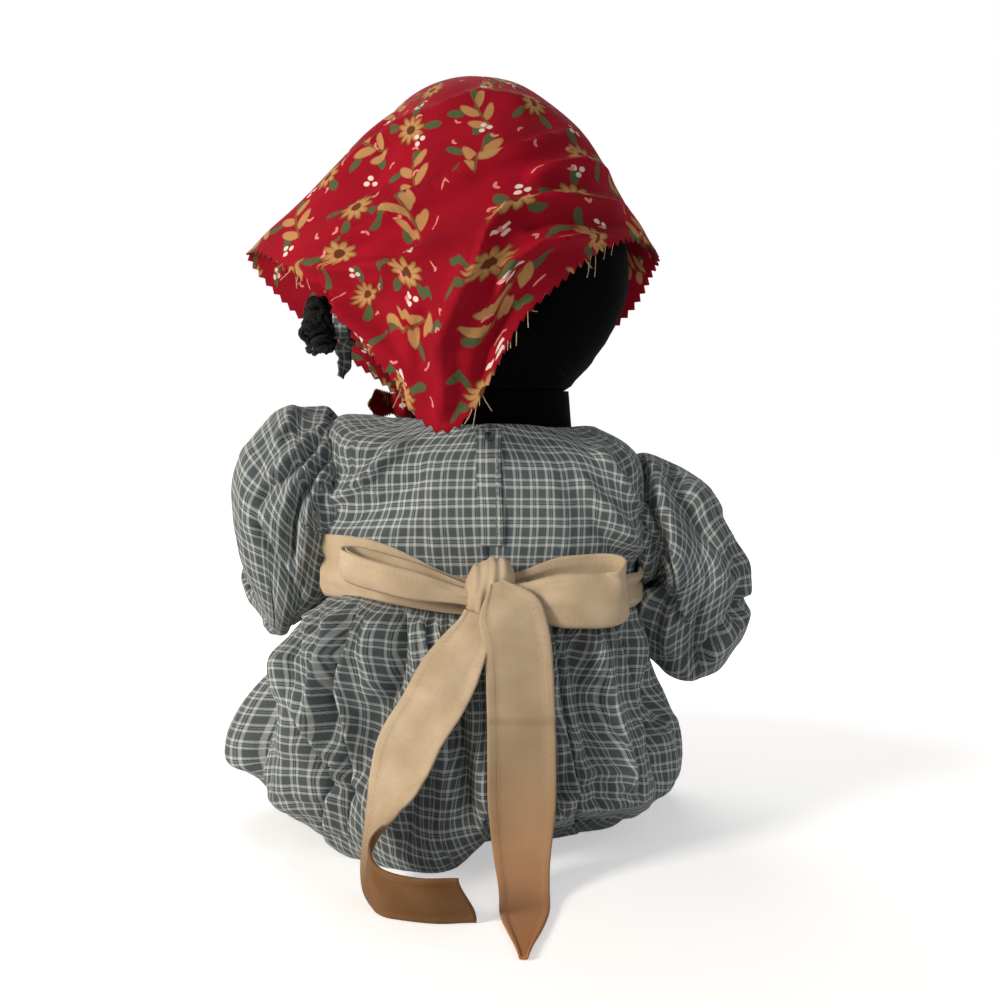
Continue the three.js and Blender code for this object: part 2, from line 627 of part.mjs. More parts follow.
const bodiceRings = (grow, sides) =>
  bodiceProfile.map(({ z, width, depth, power, lift }) =>
    levelRing(z + lift * grow, width + grow, depth + grow, sides, power),
  );

// How far back the bodice stands at its centre, at a height.
function bodiceBack(height, grow) {
  const above = Math.max(1, bodiceProfile.findIndex(({ z, lift }) => z + lift * grow >= height));
  const [low, high] = [bodiceProfile[above - 1], bodiceProfile[above]];
  const [bottom, top] = [low.z + low.lift * grow, high.z + high.lift * grow];
  return lerp(low.depth, high.depth, (height - bottom) / (top - bottom)) + grow;
}

const armholeCut = (side) =>
  new THREE.CylinderGeometry(ARMHOLE_RADIUS, ARMHOLE_RADIUS, FAR, 24)
    .rotateZ(Math.PI / 2)
    .translate(side * (FAR / 2 + CHEST_HALF_WIDTH - 8), 0, ARMHOLE_HEIGHT);

function buildBodice() {
  const shell = cut(
    tubeWall(bodiceRings(CLOTH, 36), bodiceRings(0, 36)),
    armholeCut(1),
    armholeCut(-1),
  );
  const half = GAP / 2;
  const frontHalf = boxBetween(V(-FAR, -half, -FAR), V(FAR, FAR, FAR));
  const backHalf = boxBetween(V(-FAR, -FAR, -FAR), V(FAR, half, FAR));
  const rightHalf = boxBetween(V(-half, -FAR, -FAR), V(FAR, FAR, FAR));
  const leftHalf = boxBetween(V(-FAR, -FAR, -FAR), V(half, FAR, FAR));
  add(doll, "bodice_front", cut(shell, backHalf), PLAID);
  add(doll, "bodice_back_right", cut(shell, frontHalf, leftHalf), PLAID);
  add(doll, "bodice_back_left", cut(shell, frontHalf, rightHalf), PLAID);

  const placketFloor = BODICE_FLOOR + BAND_HEIGHT + 2 * GAP;
  const placketTop = NECKLINE_HEIGHT - GAP;
  const slice = boxBetween(
    V(-PLACKET_WIDTH / 2, -FAR, placketFloor),
    V(PLACKET_WIDTH / 2, 0, placketTop),
  );
  const overlay = tubeWall(bodiceRings(2 * CLOTH + GAP, 36), bodiceRings(CLOTH + GAP, 36));
  add(doll, "back_placket", geometryOf(solid(overlay).intersect(solid(slice))), PLAID);

  const snapProfile = [
    new THREE.Vector2(0, 0),
    new THREE.Vector2(SNAP_RADIUS, 0),
    new THREE.Vector2(SNAP_RADIUS * 0.9, 0.8),
    new THREE.Vector2(SNAP_RADIUS * 0.4, 1.6),
    new THREE.Vector2(0, 1.6),
  ];
  const snapHeight = placketTop - SNAP_RADIUS - GAP;
  const under = [-1, -0.5, 0, 0.5, 1].map((share) => snapHeight + share * SNAP_RADIUS);
  const snapDepth = Math.max(...under.map((height) => bodiceBack(height, 2 * CLOTH + GAP))) + GAP;
  const snap = new THREE.LatheGeometry(snapProfile, 14)
    .rotateX(Math.PI)
    .translate(0, -snapDepth, snapHeight);
  add(doll, "neck_snap", snap, STEEL);
}

// Skirt: gathered at the waist, bulging over the hips and lap, and tucked under the seat
const skirtProfile = [
  { z: WAIST_HEIGHT, side: 0, back: 0, lap: 0, fold: 0.5, lobe: 0 },
  { z: WAIST_HEIGHT * 0.875, side: 0.1, back: 0.42, lap: 0.24, fold: 1, lobe: 0.3 },
  { z: WAIST_HEIGHT * 0.65, side: 0.2, back: 0.78, lap: 0.66, fold: 1, lobe: 1 },
  { z: WAIST_HEIGHT * 0.47, side: 0.56, back: 0.94, lap: 0.92, fold: 1, lobe: 1 },
  { z: WAIST_HEIGHT * 0.29, side: 0.8, back: 1, lap: 1, fold: 0.9, lobe: 0.9 },
  { z: WAIST_HEIGHT * 0.13, side: 0.72, back: 0.88, lap: 0.98, fold: 0.7, lobe: 0.75 },
  { z: WAIST_HEIGHT * 0.035, side: 0.46, back: 0.6, lap: 0.9, fold: 0.5, lobe: 0.55 },
  { z: 0, side: 0.2, back: 0.32, lap: 0.8, fold: 0.4, lobe: 0.4 },
];
const SKIRT_SIDES = 4 * SKIRT_FOLDS;

// One ring of the skirt at a place between two stations, pushed out by grow.
function skirtRing(place, grow) {
  const low = Math.min(Math.floor(place), skirtProfile.length - 2);
  const share = place - low;
  const mix = (key) => lerp(skirtProfile[low][key], skirtProfile[low + 1][key], share);
  const width = WAIST_HALF_WIDTH + BODICE_EASE + CLOTH + SKIRT_BULGE * mix("side");
  const back = WAIST_HALF_DEPTH + BODICE_EASE / 2 + CLOTH + SKIRT_BACK_BULGE * mix("back");
  const lap = WAIST_HALF_DEPTH + BODICE_EASE / 2 + CLOTH + SKIRT_LAP * mix("lap");
  return Array.from({ length: SKIRT_SIDES }, (_, j) => {
    const turn = (2 * Math.PI * j) / SKIRT_SIDES;
    const left = Math.max(0, Math.cos(turn - rad(186))) ** 4;
    const gather = Math.cos(SKIRT_FOLDS * turn + 0.8 * Math.sin(3 * turn)) - 1;
    const wave = 1 + SKIRT_FOLD * mix("fold") * gather;
    const power = 2 / lerp(2.7, 2.1, smooth(place, 0, 2));
    const x = Math.sign(Math.cos(turn)) * Math.abs(Math.cos(turn)) ** power;
    const y = Math.sign(Math.sin(turn)) * Math.abs(Math.sin(turn)) ** power;
    const flat = V(width * x, (y > 0 ? lap : back) * y, 0);
    const reach = flat.length() * wave + SKIRT_LEFT_LOBE * left * mix("lobe") + grow;
    return flat.setLength(reach).setZ(mix("z"));
  });
}

const skirtRings = (grow, from, to, steps) =>
  Array.from({ length: steps + 1 }, (_, i) => skirtRing(lerp(from, to, i / steps), grow));

function buildSkirt() {
  const last = skirtProfile.length - 1;
  const outer = skirtRings(0, 0, last, last);
  const inner = skirtRings(-CLOTH, 0, last, last);
  inner[last] = inner[last].map((point) => point.clone().setZ(CLOTH));
  const bowl = cup(outer, inner);
  const underLegs = boxBetween(V(-HEM_OPENING, TUCK_EDGE, -FAR), V(HEM_OPENING, FAR, HEM_HEIGHT));
  add(doll, "skirt", cut(bowl, underLegs), PLAID);
}

// Apron: a gathered panel on the lap, its waistband, and the sash tied in a bow behind
const HEM_PLACE = 2 + (0.65 - HEM_HEIGHT / WAIST_HEIGHT) / 0.18;
function buildApronPanel() {
  const places = [0.12, 1, 2, Math.max(2.2, HEM_PLACE - 0.05)];
  const first = Math.round(((90 - APRON_SPREAD) / 360) * SKIRT_SIDES);
  const last = Math.round(((90 + APRON_SPREAD) / 360) * SKIRT_SIDES);
  const rows = places.map((place) => skirtRing(place, GAP + 0.2).slice(first, last + 1));
  const panel = sheet(rows, CLOTH);
  const clear = loft(skirtRings(GAP, 0, 3, 3));
  add(doll, "apron_panel", cut(panel, clear), MUSLIN);
}

const BAND_FLOOR = BODICE_FLOOR + GAP;
function buildWaistband() {
  const sides = 36;
  const [low, high] = bodiceProfile;
  const ring = (share, grow) => {
    const level = levelRing(0, 1, 1, sides, 2.8);
    return level.map((point) => {
      const rise = BAND_HEIGHT * share * (1 - BAND_DIP * Math.abs(point.x) ** 3);
      const climb = Math.min(1, (rise + GAP) / (high.z - low.z));
      const width = lerp(low.width, high.width, climb) + CLOTH + GAP + grow;
      const depth = lerp(low.depth, high.depth, climb) + CLOTH + GAP + grow;
      return V(point.x * width, point.y * depth, BAND_FLOOR + rise);
    });
  };
  const wall = (grow) => [0, 0.5, 1].map((share) => ring(share, grow));
  add(doll, "apron_waistband", tubeWall(wall(1.5 * CLOTH), wall(0)), MUSLIN);
}

const BOW_HEIGHT = BAND_FLOOR + BAND_HEIGHT * 0.42;
const BAND_BACK = WAIST_HALF_DEPTH + BODICE_EASE / 2 + 2.5 * CLOTH + GAP;

// One loop of the bow: a strip that leaves the knot, turns back at its end and returns behind.
function bowLoop(side, reach, tilt, drop) {
  const near = BAND_BACK + CLOTH + 2 * GAP;
  const far = near + BOW_DEPTH;
  const start = KNOT_SIZE * KNOT_WIDE;
  const outline = new THREE.CatmullRomCurve3(
    [
      V(start, far - 3, 0),
      V(reach * 0.45, far - 1, 0),
      V(reach * 0.85, far - 3, 0),
      V(reach, far - BOW_DEPTH * 0.75, 0),
      V(reach * 0.9, near - 2, 0),
      V(reach * 0.5, near + 0.5, 0),
      V(start, near + 3, 0),
    ],
    false,
    "catmullrom",
    0.5,
  );
  const steps = 18;
  const rows = Array.from({ length: steps + 1 }, (_, i) => {
    const point = outline.getPoint(i / steps);
    const out = (point.x - start) / (reach - start);
    const half = lerp(SASH_WIDTH * 0.3, SASH_WIDTH * 0.5, smooth(out, 0, 0.8));
    const height = BOW_HEIGHT + tilt * out - drop * out * out;
    return [half, -half].map((z) => V(side * point.x, -point.y, height + z));
  });
  return sheet(rows, CLOTH * side);
}

// A hanging tail of the sash: a strip along a path, its width along a turning direction.
function tail(points, widths, endShare) {
  const path = new THREE.CatmullRomCurve3(points, false, "catmullrom", 0.5);
  const turns = new THREE.CatmullRomCurve3(widths, false, "catmullrom", 0.5);
  const steps = 22;
  const rows = Array.from({ length: steps + 1 }, (_, i) => {
    const at = path.getPoint(i / steps);
    const across = turns.getPoint(i / steps).normalize();
    const t = i / steps;
    const share = lerp(0.55, 1, smooth(t, 0, 0.22)) * lerp(1, endShare, smooth(t, 0.6, 0.95));
    const half = (SASH_WIDTH / 2) * share * (i === steps ? 0.3 : 1);
    return [-half, half].map((reach) => at.clone().addScaledVector(across, reach));
  });
  return sheet(rows, CLOTH);
}

function buildBow() {
  const middle = (SKIRT_SIDES * 3) / 4;
  const back = (place) => {
    const folds = skirtRing(place, 0).slice(middle - 6, middle + 7);
    return TAIL_CLEARANCE + Math.max(...folds.map((point) => -point.y));
  };
  const knot = new THREE.SphereGeometry(KNOT_SIZE, 14, 10)
    .scale(KNOT_WIDE, KNOT_DEEP, 1.05)
    .translate(0, -BAND_BACK - KNOT_SIZE * KNOT_DEEP - GAP, BOW_HEIGHT);
  add(doll, "bow_knot", knot, MUSLIN);
  add(doll, "bow_loop_right", bowLoop(1, BOW_REACH_RIGHT, 3, 4), MUSLIN);
  add(doll, "bow_loop_left", bowLoop(-1, BOW_REACH_LEFT, 10, 2), MUSLIN);

  const start = BOW_HEIGHT - KNOT_SIZE - 2 * GAP;
  const floor = SASH_WIDTH * 0.36 + CLOTH;
  const level = (place) => skirtProfile[place].z;
  const root = -BAND_BACK - KNOT_SIZE * KNOT_DEEP;
  const foot = -back(4);
  const right = tail(
    [
      V(TAIL_SPREAD_RIGHT * 0.75, root, start),
      V(TAIL_SPREAD_RIGHT * 0.92, -back(1), level(1)),
      V(TAIL_SPREAD_RIGHT, -back(2), level(2)),
      V(TAIL_SPREAD_RIGHT, -back(3), level(3)),
      V(TAIL_SPREAD_RIGHT, foot, level(4)),
      V(TAIL_SPREAD_RIGHT, foot - TAIL_REACH_RIGHT * 0.08, level(5)),
      V(TAIL_SPREAD_RIGHT * 0.95, foot - TAIL_REACH_RIGHT * 0.36, 1.4),
      V(TAIL_SPREAD_RIGHT * 0.7, foot - TAIL_REACH_RIGHT, 0.8),
    ],
    Array.from({ length: 8 }, (_, i) => V(1, 0.05 * Math.max(0, i - 4), 0)),
    0.68,
  );
  const left = tail(
    [
      V(-TAIL_SPREAD_LEFT * 0.19, root, start - 2.4),
      V(-TAIL_SPREAD_LEFT * 0.36, -back(1), level(1)),
      V(-TAIL_SPREAD_LEFT * 0.6, -back(2), level(2)),
      V(-TAIL_SPREAD_LEFT * 0.79, -back(3), level(3)),
      V(-TAIL_SPREAD_LEFT * 0.94, foot, level(4)),
      V(-TAIL_SPREAD_LEFT, foot - TAIL_REACH_LEFT * 0.22, floor + 4),
      V(-TAIL_SPREAD_LEFT * 0.84, foot - TAIL_REACH_LEFT * 0.8, floor),
      V(TAIL_CURL - TAIL_SPREAD_LEFT, foot - TAIL_REACH_LEFT, floor),
    ],
    [
      V(1, 0, 0.3), V(1, 0, 0.4), V(1, 0, 0.5), V(1, 0, 0.5), V(0.9, -0.2, 0.5),
      V(0.6, -0.5, 0.5), V(-0.2, -0.75, 0.55), V(-0.3, -0.75, 0.58),
    ],
    0.9,
  );
  add(doll, "sash_tail_right", right, MUSLIN);
  add(doll, "sash_tail_left", left, MUSLIN);
}

// Arms: the upper arm leaves the shoulder seam straight, curves down, and the forearm bends forward
const ARM_ROOT = Math.max(CHEST_HALF_WIDTH, WAIST_HALF_WIDTH) + GAP;
const ARM_OUT = CHEST_HALF_WIDTH + BODICE_EASE + 2 * CLOTH;
const FORWARD = V(0, 1, 0);
function armPath({ side, bend, fall }) {
  const root = V(side * ARM_ROOT, 0, ARMHOLE_HEIGHT);
  const pivot = V(side * ARM_OUT, 0, ARMHOLE_HEIGHT - ARM_BEND);
  const onShoulder = (degrees) =>
    V(side * Math.sin(rad(degrees)), 0, Math.cos(rad(degrees))).multiplyScalar(ARM_BEND).add(pivot);
  const down = V(side * Math.cos(rad(fall)), 0, -Math.sin(rad(fall)));
  const turnStart = onShoulder(bend);
  const onElbow = (degrees) =>
    turnStart
      .clone()
      .addScaledVector(down, ELBOW_BEND * Math.sin(rad(degrees)))
      .addScaledVector(FORWARD, ELBOW_BEND * (1 - Math.cos(rad(degrees))));
  const reach = V(-side * 0.42, 0.9, -0.06).normalize();
  const wrist = onElbow(88).addScaledVector(reach, FOREARM_LENGTH);
  return {
    elbow: onElbow(45),
    axis: down.clone().cross(FORWARD),
    reach,
    upper: [root, ...[0, 1 / 2, 1].map((t) => onShoulder(bend * t))],
    lower: [22, 45, 68, 88].map(onElbow),
    wrist,
    tip: wrist.clone().addScaledVector(reach, HAND_LENGTH),
  };
}

// The turn that lays a piece built along +Y along another direction.
const turnTo = (direction) =>
  new THREE.Quaternion().setFromUnitVectors(V(0, 1, 0), direction.clone().normalize());

const elbowPost = (arm, radius) => {
  const { elbow, axis } = armPath(arm);
  return new THREE.CylinderGeometry(radius, radius, 6 * ARM_RADIUS, 20)
    .applyQuaternion(turnTo(axis))
    .translate(...elbow.toArray());
};

// A piece pinched flat along the elbow's axis: its thickness narrows to the knuckle there.
function armRings(arm, stations, inset, sides) {
  const { axis } = armPath(arm);
  return stations.map(({ at, along, wide, thick }) => {
    const broad = axis.clone().projectOnPlane(along).normalize();
    const deep = along.clone().normalize().cross(broad);
    return ringAbout(at, broad, deep, wide - inset, thick - inset, sides);
  });
}

function upperArmStations(arm) {
  const { upper, lower, elbow } = armPath(arm);
  const curve = new THREE.CatmullRomCurve3([...upper, lower[0], elbow], false, "catmullrom", 0.5);
  const sizes = [
    [0, ARM_RADIUS - 1, ARM_RADIUS - 1],
    [0.2, ARM_RADIUS, ARM_RADIUS],
    [0.45, ARM_RADIUS, ARM_RADIUS],
    [0.68, ARM_RADIUS, ARM_RADIUS * 0.8],
    [0.86, ARM_RADIUS - 1, ARM_RADIUS * 0.4],
    [1, ARM_RADIUS - 2, ELBOW_KNUCKLE * 0.5],
  ];
  return sizes.map(([t, wide, thick]) => ({
    at: curve.getPoint(t),
    along: t === 0 ? V(arm.side, 0, 0) : curve.getTangent(t),
    wide,
    thick,
  }));
}

function forearmStations(arm) {
  const { lower, elbow, wrist, tip, reach } = armPath(arm);
  const points = [elbow, lower[2], lower[3], wrist, tip];
  const curve = new THREE.CatmullRomCurve3(points, false, "catmullrom", 0.5);
  const sizes = [
    [0, ARM_RADIUS - 2, ELBOW_KNUCKLE],
    [0.14, ARM_RADIUS - 1, ARM_RADIUS * 0.5],
    [0.3, ARM_RADIUS - 1, ARM_RADIUS * 0.86],
    [0.52, ARM_RADIUS - 2, ARM_RADIUS - 2],
    [0.75, WRIST_RADIUS, WRIST_RADIUS],
    [0.84, HAND_HALF_WIDTH * 0.95, HAND_HALF_THICKNESS],
    [0.94, HAND_HALF_WIDTH, HAND_HALF_THICKNESS],
    [1, HAND_HALF_WIDTH * 0.55, HAND_HALF_THICKNESS * 0.55],
  ];
  return sizes.map(([t, wide, thick]) => ({
    at: curve.getPoint(t),
    along: t > 0.7 ? reach : curve.getTangent(t),
    wide,
    thick,
  }));
}

// Sleeve: straight through the armhole, puffed below the shoulder, drawn in at the wrist
function sleeveStations(arm) {
  const { side, puff, lift } = arm;
  const { upper, lower, wrist } = armPath(arm);
  const curve = new THREE.CatmullRomCurve3([...upper, ...lower, wrist], false, "catmullrom", 0.5);
  const root = ARMHOLE_RADIUS - GAP - 0.6;
  const sizes = [
    { t: 0.02, radius: root, flat: 1, raise: 0, turn: 0 },
    { t: 0.12, radius: root, flat: 1, raise: 0, turn: 0 },
    { t: 0.2, radius: puff * 0.95, flat: 0.92, raise: lift * 0.4, turn: 0.35 },
    { t: 0.3, radius: puff, flat: 0.94, raise: lift, turn: 0.6 },
    { t: 0.41, radius: puff, flat: SLEEVE_FLATNESS, raise: lift * 0.6, turn: 1 },
    { t: 0.54, radius: SLEEVE_ELBOW, flat: SLEEVE_FLATNESS, raise: 0, turn: 1 },
    { t: 0.67, radius: SLEEVE_ELBOW, flat: SLEEVE_FLATNESS, raise: 0, turn: 1 },
    { t: 0.8, radius: SLEEVE_ELBOW * 0.92, flat: SLEEVE_FLATNESS, raise: 0, turn: 1 },
    { t: 0.91, radius: SLEEVE_ELBOW * 0.8, flat: 0.86, raise: 0, turn: 1 },
    { t: 1, radius: WRIST_RADIUS + 4.5, flat: 1, raise: 0, turn: 1 },
  ];
  return sizes.map(({ t, radius, flat, raise, turn }) => {
    const tangent = V(side, 0, 0).lerp(curve.getTangent(t), turn).normalize();
    const second = turn ? V(side, 0, 0).projectOnPlane(tangent).normalize() : V(0, 0, 1);
    const first = second.clone().cross(tangent);
    const at = curve.getPoint(t).add(V(0, 0, raise));
    return { at, first, second, deep: radius, flat: radius * flat };
  });
}

function buildArm(arm) {
  const { name, side } = arm;
  const { wrist, reach, axis } = armPath(arm);
  const sides = 12;
  const fillInset = BODY_CLOTH + FILL_CLEARANCE;
  const socket = elbowPost(arm, ELBOW_KNUCKLE + GAP);
  const fillSocket = elbowPost(arm, ELBOW_KNUCKLE + GAP + FILL_CLEARANCE);
  const upperStations = upperArmStations(arm);
  const forearm = forearmStations(arm);

  const skin = (stations) =>
    cup(armRings(arm, stations, 0, sides), armRings(arm, stations, BODY_CLOTH, sides));
  const upperSkin = skin(upperStations);
  add(doll, `upper_arm_skin_${name}`, cut(upperSkin, socket), BLACK_CLOTH);
  const upperFill = loft(armRings(arm, upperStations, fillInset, sides / 2));
  add(doll, `upper_arm_filling_${name}`, cut(upperFill, fillSocket), FILLING);

  const palm = wrist.clone().addScaledVector(reach, HAND_LENGTH * 0.56);
  const thumb = new THREE.CapsuleGeometry(THUMB_RADIUS, HAND_LENGTH * 0.36, 3, 8)
    .applyQuaternion(turnTo(reach.clone().add(V(0, 0, 0.9))))
    .translate(...palm.addScaledVector(axis, -side * HAND_HALF_WIDTH * 0.62).toArray());
  const thumbClear = loft(armRings(arm, forearm, BODY_CLOTH / 2, sides));
  add(doll, `forearm_skin_${name}`, join(skin(forearm), cut(thumb, thumbClear)), BLACK_CLOTH);
  add(doll, `forearm_filling_${name}`, loft(armRings(arm, forearm, fillInset, sides / 2)), FILLING);

  const sleeve = sleeveStations(arm);
  const wall = (inset) =>
    sleeve.map(({ at, first, second, deep, flat }) =>
      ringAbout(at, first, second, deep - inset, flat - inset, 16),
    );
  add(doll, `sleeve_${name}`, tubeWall(wall(0), wall(CLOTH)), PLAID);

  const cuffStart = wrist.clone().addScaledVector(reach, GAP + 0.6);
  const broad = axis.clone().projectOnPlane(reach).normalize();
  const deep = reach.clone().cross(broad);
  const cuffRings = (grow) =>
    [0, CUFF_WIDTH / 2, CUFF_WIDTH].map((distance, i) =>
      ringAbout(
        cuffStart.clone().addScaledVector(reach, distance),
        broad,
        deep,
        HAND_HALF_WIDTH + GAP + grow + (i === 1 ? 0.8 : 0),
        WRIST_RADIUS + GAP + grow + (i === 1 ? 0.8 : 0),
        16,
      ),
    );
  const cuff = tubeWall(cuffRings(1.5 * CLOTH), cuffRings(0));
  const armClear = loft(armRings(arm, forearm, -GAP, sides));
  add(doll, `sleeve_cuff_${name}`, cut(cuff, armClear), PLAID);
}

buildTorso();
buildLeg("right", 1);
buildLeg("left", -1);
buildHead();
buildFace();
buildPigtail("right", PIGTAIL_ANGLE_RIGHT);
buildPigtail("left", -PIGTAIL_ANGLE_LEFT);
buildKerchief();
buildBodice();
buildSkirt();
buildApronPanel();
buildWaistband();
buildBow();
buildArm(ARM_RIGHT);
buildArm(ARM_LEFT);

export default doll;
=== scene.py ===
"""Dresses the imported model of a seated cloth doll.

Sizes are in millimetres until a mesh is made. The doll faces +Y and its right hand is on +X.
"""

import logging
import math
from dataclasses import dataclass
from enum import Enum
from typing import Sequence

import bpy
import numpy as np
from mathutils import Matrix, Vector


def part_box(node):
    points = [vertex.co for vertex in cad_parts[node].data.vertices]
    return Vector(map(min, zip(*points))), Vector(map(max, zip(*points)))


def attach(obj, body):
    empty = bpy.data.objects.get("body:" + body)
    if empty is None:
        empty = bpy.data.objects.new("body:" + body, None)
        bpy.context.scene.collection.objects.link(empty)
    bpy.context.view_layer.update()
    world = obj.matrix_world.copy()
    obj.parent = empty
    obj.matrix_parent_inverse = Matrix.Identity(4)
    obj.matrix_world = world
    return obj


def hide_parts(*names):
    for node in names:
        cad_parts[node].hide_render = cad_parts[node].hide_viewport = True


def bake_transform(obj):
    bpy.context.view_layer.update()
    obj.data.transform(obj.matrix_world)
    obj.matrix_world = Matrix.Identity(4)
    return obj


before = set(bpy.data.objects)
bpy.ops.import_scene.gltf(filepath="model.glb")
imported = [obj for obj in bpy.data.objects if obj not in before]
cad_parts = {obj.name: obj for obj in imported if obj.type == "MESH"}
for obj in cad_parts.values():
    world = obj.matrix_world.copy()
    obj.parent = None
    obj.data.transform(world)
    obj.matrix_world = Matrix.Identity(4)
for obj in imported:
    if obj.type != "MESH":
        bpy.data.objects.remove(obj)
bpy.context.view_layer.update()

logging.basicConfig(level=logging.INFO, format="%(message)s")
LOG = logging.getLogger("doll")

Points = np.ndarray
Colour = tuple[float, float, float, float]
Line = Sequence[tuple[float, float]]
Pair = tuple[float, float]
Socket = bpy.types.NodeSocket
MM = 0.001
TAU = 2 * math.pi
UP = np.array([0.0, 0.0, 1.0])
LEVEL = np.array([1.0, 1.0, 0.0])

# Height, half width and half depth of the dress at its waist.
WAIST, WAIST_WIDE, WAIST_DEEP = 97.4, 61.7, 47.45
# Height of the shoulders, and how far out an arm is sewn in.
SHOULDER, ARM_ROOT = 135.0, 54.4
# How far a stuffed limb's cover lies under the face of its solid.
COVER = 0.5
SASH_WIDTH = 26.0
PLAID_THICK, MUSLIN_THICK = 0.7, 1.0


# ---------------------------------------------------------------- shapes


def catmull(points: Points, t: Points) -> Points:
    """Smooth curve through points.

    Args:
        points: Array (n, ...) of the points that the curve passes.
        t: Places along the curve, 0 to 1.

    Returns:
        Array (len(t), ...) of points on the curve.
    """
    pts = np.asarray(points, float)
    spans = len(pts) - 1
    longer = np.concatenate([[2 * pts[0] - pts[1]], pts, [2 * pts[-1] - pts[-2]]])
    place = np.clip(np.asarray(t, float), 0, 1) * spans
    low = np.minimum(place.astype(int), spans - 1)
    w = (place - low).reshape((-1,) + (1,) * (pts.ndim - 1))
    a, b, c, d = (longer[low + k] for k in range(4))
    start, stop = 0.5 * (c - a), 0.5 * (d - b)
    return (
        (2 * w**3 - 3 * w**2 + 1) * b
        + (w**3 - 2 * w**2 + w) * start
        + (3 * w**2 - 2 * w**3) * c
        + (w**3 - w**2) * stop
    )


def unit(vectors: Points) -> Points:
    """Vectors at length one."""
    v = np.asarray(vectors, float)
    return v / np.maximum(np.linalg.norm(v, axis=-1, keepdims=True), 1e-9)


def ease(x: Points, low: float, high: float) -> Points:
    """Smooth step from 0 at low to 1 at high."""
    t = np.clip((np.asarray(x, float) - low) / (high - low), 0, 1)
    return t * t * (3 - 2 * t)


def hump(x: Points, middle: float, width: float) -> Points:
    """Smooth hump of height 1 about a middle."""
    return np.exp(-(((x - middle) / width) ** 2))


def angles(count: int) -> Points:
    """Even angles round a ring, the first not again at its end."""
    return np.linspace(0, TAU, count, endpoint=False)


def around(first: Points, second: Points, turn: Points) -> Points:
    """Directions round a ring that two directions span."""
    return first * np.cos(turn)[:, None] + second * np.sin(turn)[:, None]


def outward(points: Points) -> Points:
    """Level directions away from the upright axis."""
    return unit(points * LEVEL)


def closed(grid: Points) -> Points:
    """A ring's grid with its first column again at its end."""
    return np.concatenate([grid, grid[:, :1]], 1)


def flat_places(across: Points, along: Points) -> Points:
    """Places on the flat cloth, of two coordinates drawn out to one shape."""
    return np.stack(np.broadcast_arrays(across, along), -1)


def ripple(points: Points, scale: float, seed: int, waves: int = 9) -> Points:
    """Seeded smooth unevenness.

    Args:
        points: Array (..., k) of places.
        scale: Size of the lumps, in the places' own unit.
        seed: Picks the lumps.
        waves: How many waves are summed.

    Returns:
        Array (...) of about -1 to 1.
    """
    rng = np.random.default_rng(seed)
    turn = unit(rng.normal(size=(waves, points.shape[-1])))
    turn *= TAU / scale * rng.uniform(0.6, 1.5, (waves, 1))
    return np.sin(points @ turn.T + rng.uniform(0, TAU, waves)).sum(-1) / math.sqrt(waves)


def normals(grid: Points, wrap: bool) -> Points:
    """Unit normals of a grid of points.

    Args:
        grid: Array (rows, columns, 3).
        wrap: Whether the columns close into a ring.

    Returns:
        Array (rows, columns, 3).
    """
    wide = np.concatenate([grid[:, -1:], grid, grid[:, :1]], 1) if wrap else grid
    across = np.gradient(wide, axis=1)
    across = across[:, 1:-1] if wrap else across
    return unit(np.cross(across, np.gradient(grid, axis=0)))


def lengths(grid: Points, axis: int) -> Points:
    """Running length along one axis of a grid, from 0.

    Args:
        grid: Points (rows, columns, 3).
        axis: 0 to run from row to row, 1 from column to column.

    Returns:
        Lengths (rows, columns).
    """
    step = np.linalg.norm(np.diff(grid, axis=axis), axis=-1)
    pad = [(0, 0), (0, 0)]
    pad[axis] = (1, 0)
    return np.cumsum(np.pad(step, pad), axis=axis)


def evened(along: Points, spread: float) -> Points:
    """Lengths smoothed round a ring, so that the checks stay level across folds.

    Args:
        along: Lengths (rows, columns).
        spread: How many columns it smooths over.

    Returns:
        Lengths of the same shape.
    """
    count = along.shape[1]
    apart = np.minimum(np.arange(count), count - np.arange(count))
    weight = np.exp(-0.5 * (apart / spread) ** 2)
    mixed = np.fft.rfft(along, axis=1) * np.fft.rfft(weight / weight.sum())[None]
    return np.fft.irfft(mixed, count, axis=1)


def finer(grid: Points, wrap: bool, times: int = 2) -> Points:
    """A grid with more rows and columns through the same shape.

    Args:
        grid: Array (rows, columns, 3).
        wrap: Whether the columns close into a ring.
        times: How many times finer it becomes.

    Returns:
        The finer grid.
    """
    rows, cols = grid.shape[:2]
    grid = catmull(grid, np.linspace(0, 1, times * (rows - 1) + 1))
    across = np.moveaxis(grid, 1, 0)
    if not wrap:
        return np.moveaxis(catmull(across, np.linspace(0, 1, times * (cols - 1) + 1)), 0, 1)
    ring = np.concatenate([across[-2:], across, across[:3]])
    spots = (2 + np.arange(times * cols) / times) / (len(ring) - 1)
    return np.moveaxis(catmull(ring, spots), 0, 1)


@dataclass
class Patch:
    """One grid of points that becomes part of a mesh.

    Attributes:
        grid: Points (rows, columns, 3) in millimetres.
        cut: Places on the flat cloth (rows, columns, 2), one column more where it wraps.
        wrap: Whether the columns close into a ring.
        caps: Whether the first and the last row are closed.
        keep: Which quads are made, or None for all.
    """

    grid: Points
    cut: Points | None = None
    wrap: bool = False
    caps: tuple[bool, bool] = (False, False)
    keep: Points | None = None

    def laid_out(self) -> Points:
        """Places on the flat cloth, by running length where none are given.

        Returns:
            Places (rows, columns, 2).
        """
        if self.cut is not None:
            return self.cut
        grid = closed(self.grid) if self.wrap else self.grid
        across = lengths(grid, 1).mean(0, keepdims=True).repeat(len(grid), 0)
        along = lengths(grid, 0).mean(1, keepdims=True).repeat(grid.shape[1], 1)
        return np.stack([across, along], -1)


def shut(grid: Points) -> Patch:
    """A ring's patch with both ends closed."""
    return Patch(grid, wrap=True, caps=(True, True))


